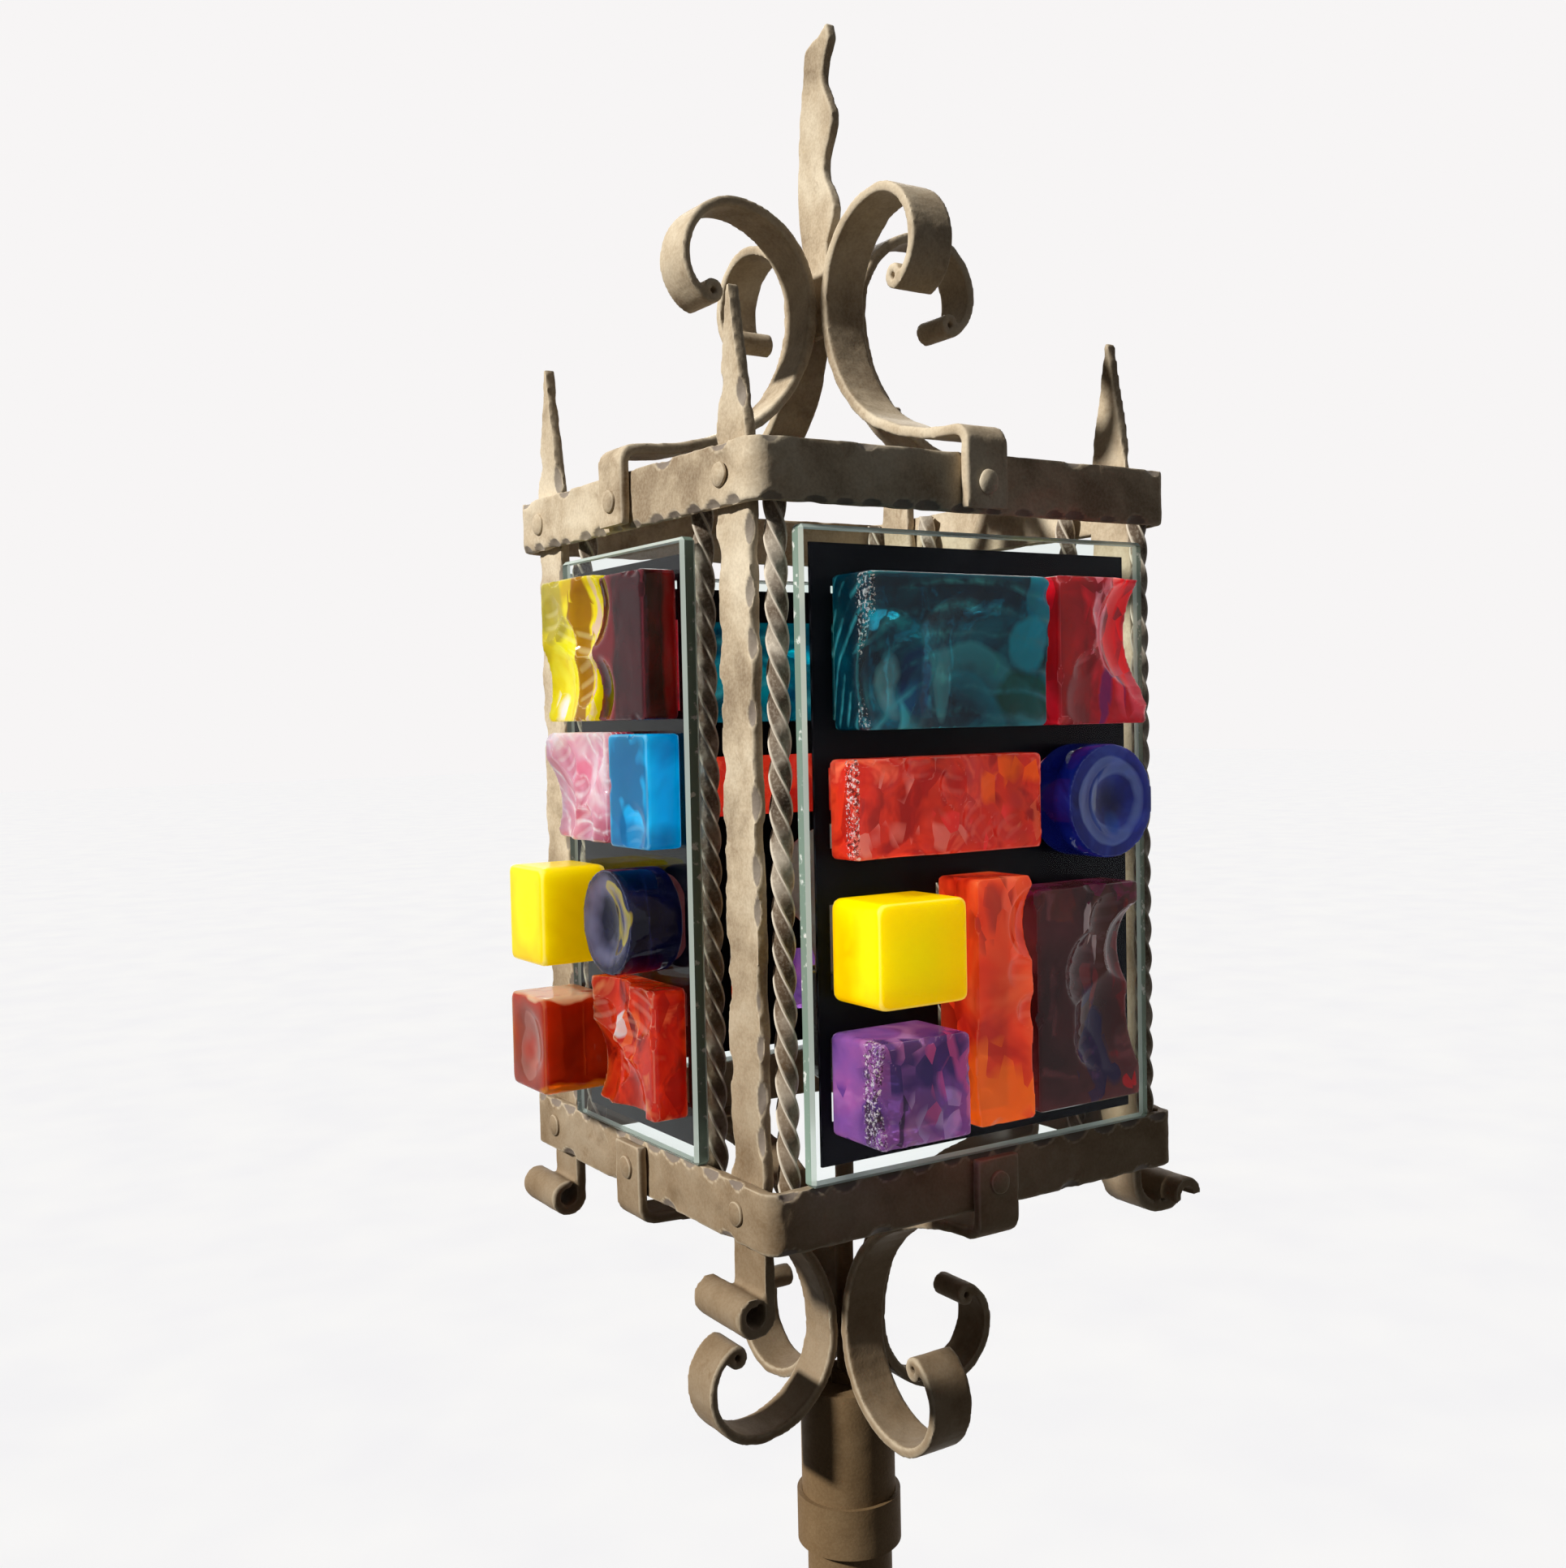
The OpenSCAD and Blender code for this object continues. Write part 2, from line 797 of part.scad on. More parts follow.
// Bushing in the lower end of the pole, where a supply cord would enter
module cord_bushing() {
    plug_h = 12;
    flange_h = 3;
    color("#2b2b2b")
        translate([0, 0, hub_z])
            difference() {
                union() {
                    cylinder(d = pole_d - 2 * pole_wall - 2 * slip, h = plug_h);
                    translate([0, 0, -flange_h])
                        cylinder(d = pole_d, h = flange_h);
                }
                translate([0, 0, -flange_h - 1])
                    cylinder(d = cord_bore_d, h = plug_h + flange_h + 2);
            }
}

// ---- Lampholder and bulb ----

module stem_tube() {
    foot = head_top - head_plate - nut_h - 6;
    color("#5f5146")
        translate([0, 0, foot])
            tube(stem_d, stem_bore, holder_foot + holder_wall + 5 - foot);
}

module stem_nuts() {
    color("#5f5146")
        for (z = [head_top - head_plate - nut_h, head_top, holder_foot - nut_h])
            translate([0, 0, z])
                difference() {
                    cylinder(d = nut_af / cos(30), h = nut_h, $fn = 6);
                    translate([0, 0, -1])
                        cylinder(d = stem_d + slip, h = nut_h + 2);
                }
}

module lampholder_cap() {
    dome_h = 12;
    neck_r = nut_af / 2;
    rim_r = holder_d / 2;
    dome = [for (a = [0:10:90]) [neck_r + (rim_r - neck_r) * sin(a), dome_h * (1 - cos(a))]];
    color("#2a2320")
        translate([0, 0, holder_foot])
            difference() {
                rotate_extrude()
                    polygon(concat([[0, 0]], dome, [[rim_r, cap_h], [0, cap_h]]));
                translate([0, 0, dome_h])
                    cylinder(r = rim_r - holder_wall, h = cap_h);
                translate([0, 0, holder_wall])
                    cylinder(r1 = neck_r - 1, r2 = rim_r - holder_wall, h = dome_h - holder_wall);
                translate([0, 0, -1])
                    cylinder(d = stem_d + 2 * slip, h = cap_h);
                translate([0, 0, key_h])
                    rotate([0, 90, 0])
                        cylinder(r = key_d / 2 + running, h = holder_d);
            }
}

module lampholder_shell() {
    color("#2a2320")
        translate([0, 0, holder_foot + cap_h])
            tube(holder_d, holder_d - 2 * holder_wall, shell_h);
}

module lampholder_core() {
    color("#e8e4da")
        translate([0, 0, holder_foot])
            difference() {
                translate([0, 0, cap_h])
                    cylinder(r = holder_d / 2 - holder_wall - slip, h = shell_h - 2);
                translate([0, 0, socket_floor])
                    cylinder(r = bulb_cap_d / 2 + 3 * slip, h = shell_h);
                cylinder(r = stem_bore / 2, h = shell_h);
            }
}

// Rotary key of the lampholder's switch: paddle, shaft and the flange that keeps it in the cap
module switch_key() {
    flange_r = key_d / 2 + 1.5;
    wall_in = holder_d / 2 - holder_wall;
    flange_x = sqrt(pow(wall_in, 2) - pow(flange_r, 2)) - seat_gap;
    shaft_len = 14;
    paddle = [10, 3, 16];
    color("#2a2320")
        translate([0, 0, holder_foot + key_h]) {
            translate([flange_x - 1, 0, 0])
                rotate([0, 90, 0]) {
                    cylinder(r = key_d / 2, h = shaft_len);
                    cylinder(r = flange_r, h = 1);
                }
            translate([flange_x - 1 + shaft_len - weld + paddle[0] / 2, 0, 0])
                cube(paddle, center = true);
        }
}

module bulb_cap() {
    cap_len = bulb_seat - socket_floor;
    tip_d = 9;
    tip_h = 2;
    color("#c8c8c4")
        translate([0, 0, holder_foot + socket_floor + tip_h]) {
            translate([0, 0, -tip_h + seat_gap])
                cylinder(d = tip_d, h = tip_h);
            cylinder(d1 = bulb_cap_d - 8, d2 = bulb_cap_d, h = 4);
            translate([0, 0, 4])
                cylinder(d = bulb_cap_d, h = cap_len - 4);
        }
}

// Envelope of the bulb: a neck that swells into a globe, drawn in by the wall for its inner face
function bulb_outline(wall) =
    let (r = bulb_d / 2, neck = bulb_cap_d / 2 + 0.5, globe = 48)
    concat(
        [[neck - wall, 0], [neck - wall, 6]],
        [for (a = [-50:10:80]) [(r - wall) * cos(a), globe + (r - wall) * sin(a)]],
        [[0, globe + r - wall]]);

module bulb_glass() {
    wall = 1;
    color("#f2f2ee", 0.6)
        translate([0, 0, holder_foot + bulb_seat + 2 + seat_gap])
            rotate_extrude()
                difference() {
                    polygon(concat(bulb_outline(0), [[0, 0]]));
                    polygon(concat(bulb_outline(wall), [[0, 0]]));
                }
}

band(top_z - band_h);  // top_band
band(lantern_z);  // bottom_band
left_post(-left_post_y, front_drop);  // post_front_left
left_post(left_post_y, back_drop);  // post_back_left
right_post(-right_post_y);  // post_front_right
right_post(right_post_y);  // post_back_right
twisted_bars(-1, -1);  // twisted_bars_front_left
twisted_bars(-1, 1);  // twisted_bars_back_left
twisted_bars(1, -1);  // twisted_bars_front_right
twisted_bars(1, 1);  // twisted_bars_back_right
pane(0, wide_pane_w);  // pane_front
pane(-90, side_pane_w);  // pane_left
pane(180, wide_pane_w);  // pane_back
pane(90, side_pane_w);  // pane_right
wide_backings();
side_backings();
teal_slabs();
crimson_blocks();
coral_slabs();
blue_rounds();
yellow_cubes();
amethyst_cubes();
orange_bars();
plum_slabs();
amber_slabs();
dark_red_slabs();
pink_slabs();
cyan_slabs();
lemon_cubes();
navy_rounds();
burnt_orange_cubes();
flame_red_blocks();
top_scroll(-90);  // top_scroll_front
top_scroll(180);  // top_scroll_left
top_scroll(90);  // top_scroll_back
top_scroll(0);  // top_scroll_right
lower_scroll(-90);  // lower_scroll_front
lower_scroll(180);  // lower_scroll_left
lower_scroll(90);  // lower_scroll_back
lower_scroll(0);  // lower_scroll_right
flame_finial();
band_rivets();
pole_head();
collar_ring();
pole();
stem_tube();
stem_nuts();
hub();
leg(45);  // leg_1
leg(135);  // leg_2
leg(225);  // leg_3
leg(315);  // leg_4
leg_rivets();
cord_bushing();
lampholder_cap();
lampholder_shell();
lampholder_core();
switch_key();
bulb_cap();
bulb_glass();
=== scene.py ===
import json
import math
import random

import bpy
import bmesh
import numpy as np
from mathutils import Matrix, Quaternion, Vector, noise


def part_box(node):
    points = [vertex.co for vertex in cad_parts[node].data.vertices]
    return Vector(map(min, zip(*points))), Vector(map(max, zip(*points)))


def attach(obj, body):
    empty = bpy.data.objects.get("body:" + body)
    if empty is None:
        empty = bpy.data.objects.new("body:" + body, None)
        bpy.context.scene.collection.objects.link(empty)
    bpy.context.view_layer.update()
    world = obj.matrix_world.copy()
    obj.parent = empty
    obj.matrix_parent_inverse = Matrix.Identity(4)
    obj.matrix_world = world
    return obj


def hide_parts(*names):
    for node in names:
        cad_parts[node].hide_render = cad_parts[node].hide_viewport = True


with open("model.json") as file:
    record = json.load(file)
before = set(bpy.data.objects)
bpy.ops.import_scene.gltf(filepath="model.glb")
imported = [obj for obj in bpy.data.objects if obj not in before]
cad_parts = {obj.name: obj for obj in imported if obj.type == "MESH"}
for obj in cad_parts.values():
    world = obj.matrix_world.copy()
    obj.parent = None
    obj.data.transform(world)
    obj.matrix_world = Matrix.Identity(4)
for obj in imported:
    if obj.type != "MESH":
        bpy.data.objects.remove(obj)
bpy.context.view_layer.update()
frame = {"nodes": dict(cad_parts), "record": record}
MM = 0.001
WELD = 1e-6


# ---------------------------------------------------------------- camera
# Same angle, distance and lens as the photograph; the sensor lies along the picture's long side.
SENSOR_MM, LENS_MM = 36.0, 36.12
CLIP_START, CLIP_END = 0.05, 60.0
CAMERA_PLACE = (-0.4809, -0.6956, 1.3659)
AZIMUTH, ELEVATION, ROLL = (math.radians(degrees) for degrees in (32.78, -2.433, -1.237))


def make_camera():
    data = bpy.data.cameras.new("camera")
    data.sensor_width = SENSOR_MM
    data.lens = LENS_MM
    data.clip_start = CLIP_START
    data.clip_end = CLIP_END
    camera = bpy.data.objects.new("camera", data)
    bpy.context.scene.collection.objects.link(camera)
    look = Vector((math.sin(AZIMUTH) * math.cos(ELEVATION), math.cos(AZIMUTH) * math.cos(ELEVATION),
                   math.sin(ELEVATION)))
    turn = look.to_track_quat("-Z", "Y") @ Quaternion((0, 0, 1), ROLL)
    camera.matrix_world = Matrix.Translation(CAMERA_PLACE) @ turn.to_matrix().to_4x4()
    bpy.context.scene.camera = camera


make_camera()


# ---------------------------------------------------------------- material tools
def srgb(r, g, b):
    """A shader colour from the red, green and blue, 0 to 255, that a picture shows."""
    def linear(c):
        c /= 255
        return c / 12.92 if c <= 0.04045 else ((c + 0.055) / 1.055) ** 2.4
    return (linear(r), linear(g), linear(b), 1.0)


class Shader:
    """Short names for building one node material. Texture scales are features per metre."""

    def __init__(self, name, **sockets):
        self.mat = bpy.data.materials.new(name)
        self.mat.use_nodes = True
        self.tree = self.mat.node_tree
        self.bsdf = self.tree.nodes["Principled BSDF"]
        self.coords = self.tree.nodes.new("ShaderNodeTexCoord").outputs["Object"]
        for key, value in sockets.items():
            self.bsdf.inputs[key.replace("_", " ")].default_value = value

    def put(self, socket, value):
        """Sets a socket to a constant, or links it."""
        if isinstance(value, bpy.types.NodeSocket):
            self.tree.links.new(value, socket)
        else:
            socket.default_value = value

    def node(self, kind, **inputs):
        made = self.tree.nodes.new("ShaderNode" + kind)
        for key, value in inputs.items():
            self.put(made.inputs[key], value)
        return made

    def noise(self, scale, detail, rough=0.55, distortion=0.0, out="Fac"):
        node = self.node("TexNoise", Vector=self.coords, Scale=scale, Detail=detail, Roughness=rough,
                         Distortion=distortion)
        return node.outputs[out]

    def voronoi(self, scale, feature="F1", out="Distance", stretch=None):
        place = self.coords
        if stretch:
            place = self.node("Mapping", Vector=self.coords, Scale=stretch).outputs["Vector"]
        node = self.node("TexVoronoi", Vector=place, Scale=scale)
        node.feature = feature
        return node.outputs[out]

    def ramp(self, fac, *stops):
        """A colour ramp; each stop is a place and a colour, or one level for a grey."""
        node = self.node("ValToRGB", Fac=fac)
        points = node.color_ramp.elements
        while len(points) < len(stops):
            points.new(0.5)
        for point, (place, colour) in zip(points, stops):
            point.position = place
            point.color = colour if isinstance(colour, tuple) else (colour, colour, colour, 1.0)
        return node.outputs["Color"]

    def mix(self, fac, a, b):
        node = self.node("Mix")
        node.data_type = "RGBA"
        self.put(node.inputs["Factor"], fac)
        self.put(node.inputs[6], a)
        self.put(node.inputs[7], b)
        return node.outputs[2]

    def maths(self, kind, a, b, clamp=True):
        node = self.node("Math")
        node.operation = kind
        node.use_clamp = clamp
        self.put(node.inputs[0], a)
        self.put(node.inputs[1], b)
        return node.outputs[0]

    def vector_maths(self, kind, a, b=None):
        node = self.node("VectorMath")
        node.operation = kind
        self.put(node.inputs[0], a)
        if b is not None:
            self.put(node.inputs[1], b)
        return node.outputs["Value" if kind == "LENGTH" else "Vector"]

    def height(self, share):
        """A share of the height over the floor."""
        node = self.node("SeparateXYZ", Vector=self.coords)
        return self.maths("MULTIPLY", node.outputs["Z"], share)

    def attribute(self, name, out="Fac"):
        node = self.node("Attribute")
        node.attribute_name = name
        return node.outputs[out]

    def spot(self, warp, shards):
        """The place in a glass piece: across, up and outward, each from 0 to 1. It is warped by noise,
        and shifted from one shard to the next so that clouds of colour break along straight lines."""
        place = self.attribute("spot", "Vector")
        moves = [(self.noise(45, 2, 0.5, out="Color"), warp)]
        if shards:
            moves.append((self.voronoi(110, out="Color", stretch=(1.0, 1.0, 0.6)), shards))
        for move, reach in moves:
            shift = self.vector_maths("SUBTRACT", move, (0.5, 0.5, 0.5))
            shift = self.vector_maths("MULTIPLY", shift, (reach, reach, reach))
            place = self.vector_maths("ADD", place, shift)
        return place

    def arcs(self, place, centre, count, share):
        """Streaks along circles about a place in the piece, that fade in and out."""
        far = self.vector_maths("LENGTH", self.vector_maths("SUBTRACT", place, centre))
        wave = self.maths("FRACT", self.maths("MULTIPLY", far, count, clamp=False), 0.0)
        line = self.ramp(wave, (0.10, 0.0), (0.30, 1.0), (0.44, 0.25), (0.60, 0.0))
        return self.maths("MULTIPLY", line, self.ramp(self.noise(60, 3, 0.6), (0.40, 0.0), (0.60, share)))

    def blob(self, place, centre, size, share, soft, arc):
        """A cloud of the given size about a place in the piece, or only an arc along its border."""
        span = self.vector_maths("MULTIPLY", self.vector_maths("SUBTRACT", place, centre),
                                 tuple(1 / one for one in size))
        far = self.vector_maths("LENGTH", span)
        if arc:
            return self.ramp(far, (0.86 - soft, 0.0), (0.95, share), (1.0, 0.0))
        return self.ramp(far, (1 - soft, share), (1.0, 0.0))

    def bump(self, height, distance, strength, under=None):
        node = self.node("Bump", Height=height, Distance=distance, Strength=strength)
        if under is not None:
            self.put(node.inputs["Normal"], under)
        return node.outputs["Normal"]

    def done(self, colour, roughness=None, normal=None):
        self.put(self.bsdf.inputs["Base Color"], colour)
        if roughness is not None:
            self.put(self.bsdf.inputs["Roughness"], roughness)
        if normal is not None:
            self.put(self.bsdf.inputs["Normal"], normal)
        return self.mat


# ---------------------------------------------------------------- iron, panes and plain materials
RUST, LOW_BROWN, BARE_IRON = srgb(112, 84, 56), srgb(104, 82, 56), srgb(118, 110, 106)
BROWN_BELOW, PALE_ABOVE = 1.12, 1.32    # heights over the floor, in metres
BARE_ROUGHNESS = (0.38, 0.38, 0.38, 1.0)
CHIP = (0.90, 0.93, 0.90, 1.0)


def iron_material(name, dark, mid, light, worn=True, grit=0.18, edge_wear_and_highlight=0.35):
    """Weathered lacquered iron, browner lower down. Hammered facets, painted in the mesh, are barer, and its
    arrises take the light colour as far as the last argument says: partly worn bare metal, partly a painted
    highlight, which is strong on the twisted bars."""
    s = Shader(name, Specular_IOR_Level=0.05)
    dark, mid, light = (srgb(*tint) for tint in (dark, mid, light))
    cloud = s.noise(22, 4, 0.6, distortion=0.3)
    grain = s.noise(650, 3, 0.6)
    body = s.ramp(cloud, (0.34, dark), (0.50, mid), (0.68, light))
    colour = s.mix(grit, body, s.ramp(grain, (0.38, dark), (0.50, mid), (0.62, light)))
    colour = s.mix(s.ramp(s.noise(48, 5, 0.7, distortion=0.6), (0.60, 0.0), (0.70, 0.4)), colour, RUST)
    # Browner toward the bottom, by height alone.
    colour = s.mix(s.ramp(s.height(0.5), (BROWN_BELOW / 2, 0.72), (PALE_ABOVE / 2, 0.0)), colour, LOW_BROWN)
    rough = s.ramp(cloud, (0.3, 0.66), (0.7, 0.50))
    # Barer hammered facets, and arrises lightened toward the light colour: partly wear, partly a painted
    # highlight.
    if worn:
        bare = s.ramp(s.attribute("facet"), (0.35, 0.0), (0.8, 0.7))
        colour = s.mix(bare, colour, BARE_IRON)
        colour = s.mix(s.ramp(s.attribute("edge"), (0.45, 0.0), (0.9, edge_wear_and_highlight)), colour, light)
        rough = s.mix(bare, rough, BARE_ROUGHNESS)
    dents = s.bump(s.voronoi(90, "SMOOTH_F1"), 0.0008, 0.45)
    return s.done(colour, rough, s.bump(grain, 0.00025, 0.55, dents))


def plain_material(name, dark, light, scale, rough, span=(0.35, 0.65), **sockets):
    """A material of two near shades, with a fine grain that also varies its roughness. Span says
    between which levels of the grain the dark shade passes into the light one."""
    s = Shader(name, **sockets)
    grain = s.noise(scale, 5, 0.6)
    return s.done(s.ramp(grain, (span[0], srgb(*dark)), (span[1], srgb(*light))),
                  s.ramp(grain, (0.3, rough * 0.85), (0.7, rough * 1.2)), s.bump(grain, 0.0001, 0.5))


def pane_material(name, tint, clear, rough, mirror=1.0, chips=False):
    """Window glass with a slow wave in it; mirror says how strongly it reflects, seen face on."""
    s = Shader(name, IOR=1.2, Transmission_Weight=clear, Roughness=rough, Specular_IOR_Level=0.05,
               Specular_Tint=(mirror, mirror, mirror, 1.0))
    tint = srgb(*tint)
    colour = s.ramp(s.noise(12, 2, 0.4), (0.3, tint), (0.7, tuple(min(1.0, 1.12 * c) for c in tint)))
    if chips:
        nick = s.ramp(s.noise(190, 3, 0.6), (0.60, 0.0), (0.66, 0.8))
        colour = s.mix(nick, colour, CHIP)
    return s.done(colour, normal=s.bump(s.noise(16, 2, 0.4), 0.0002, 0.3))


IRON = iron_material("iron", (140, 122, 100), (190, 173, 148), (220, 207, 184))
IRON_PLAIN = iron_material("iron_plain", (104, 84, 62), (140, 118, 90), (176, 154, 122),
                           worn=False, grit=0.3)
# The twisted bars: their arrises are painted almost as light as the light colour, a painted highlight along
# each ridge that leaves the flats between looking shaded.
IRON_TWIST = iron_material("iron_twist", (64, 52, 44), (112, 98, 84), (218, 208, 192), edge_wear_and_highlight=0.9)
PANE = pane_material("pane_glass", (238, 247, 243), clear=1.0, rough=0.02, mirror=0.0)
PANE_ARRIS = pane_material("pane_arris", (200, 214, 208), clear=0.3, rough=0.3)
PANE_EDGE = pane_material("pane_edge", (128, 150, 138), clear=0.2, rough=0.35, chips=True)
BACKING = plain_material("dark_backing", (17, 17, 22), (27, 26, 31), 18, 0.5, Specular_IOR_Level=0.0)
RUBBER = plain_material("black_rubber", (26, 26, 26), (40, 40, 40), 140, 0.75, span=(0.4, 0.6))
PHENOLIC = plain_material("phenolic", (28, 20, 17), (52, 38, 31), 40, 0.25, span=(0.35, 0.7))
PORCELAIN = plain_material("porcelain", (226, 221, 210), (240, 237, 229), 30, 0.3)
CAP_METAL = plain_material("cap_metal", (170, 170, 168), (205, 205, 200), 90, 0.3, Metallic=1.0)
FROSTED = plain_material("frosted_bulb", (238, 237, 230), (250, 249, 244), 24, 0.4,
                         Transmission_Weight=0.35, IOR=1.45)


# ---------------------------------------------------------------- coloured glass materials
FROST_PALE, FROST_PIT = (0.86, 0.84, 0.84, 1.0), (0.02, 0.01, 0.01, 1.0)


def glass_material(name, stops, clouds, pale, scale=30, distortion=1.2, clear=0.45, rough=0.04, scatter=0.9,
                   reach=0.05, warp=0.22, soft=0.35, streak=0.25, painted_glow=0.3, shards=0.0, sweep=None,
                   bleed=(1.0, 0.6, 0.4)):
    """Thick coloured glass: veils and clouds of colour that light soaks into from all sides. It also gives
    off its own colour as a faint painted glow, though it is no lamp, standing in for the daylight it would
    gather beyond what scattering carries.
    stops: the veil's colours; scale and distortion: its pattern; clear: how much passes through.
    clouds: middle and half size as shares of the piece across, up and outward, colour and strength, and
    "arc" where only the border shows; soft: how soft their borders are; warp and shards: how far noise and
    broken shards shift them. pale: the colour of the arrises' painted highlight, of rings and of swept arcs;
    streak: how strongly the rings show; sweep: middle, number and strength of the arcs.
    scatter, reach and bleed: weight, depth and colour of the light under the surface."""
    s = Shader(name, IOR=1.32, Transmission_Weight=clear, Roughness=rough, Subsurface_Weight=scatter,
               Subsurface_Scale=reach, Subsurface_Radius=bleed, Specular_IOR_Level=0.1,
               Emission_Strength=painted_glow)
    pale = srgb(*pale)
    colour = s.ramp(s.noise(scale, 3, 0.5, distortion), *((at, srgb(*tint)) for at, tint in stops))
    place = s.spot(warp, shards)
    for middle, size, tint, share, *arc in clouds:
        colour = s.mix(s.blob(place, middle, size, share, soft, bool(arc)), colour, srgb(*tint))
    if sweep:
        colour = s.mix(s.arcs(place, *sweep), colour, pale)
    colour = s.mix(s.ramp(s.attribute("ring"), (0.45, 0.0), (0.95, streak)), colour, pale)
    # Painted highlight: the arrises are lightened toward the pale colour.
    colour = s.mix(s.ramp(s.attribute("edge"), (0.7, 0.0), (1.0, 0.3)), colour, pale)
    frost = s.attribute("frost")
    speck = s.maths("MULTIPLY", frost, s.noise(620, 3, 0.7))
    colour = s.mix(s.ramp(speck, (0.53, 0.0), (0.58, 0.9)), colour, FROST_PALE)
    pit = s.maths("MULTIPLY", frost, s.noise(540, 3, 0.7, distortion=0.4))
    colour = s.mix(s.ramp(pit, (0.52, 0.0), (0.57, 0.85)), colour, FROST_PIT)
    # Painted glow: the glass gives off its own colour, though it is no lamp.
    s.put(s.bsdf.inputs["Emission Color"], colour)
    waves = s.bump(s.noise(scale * 1.5, 2, 0.5, distortion=1.0), 0.0012, 0.45)
    return s.done(colour, normal=s.bump(speck, 0.001, 0.6, waves))


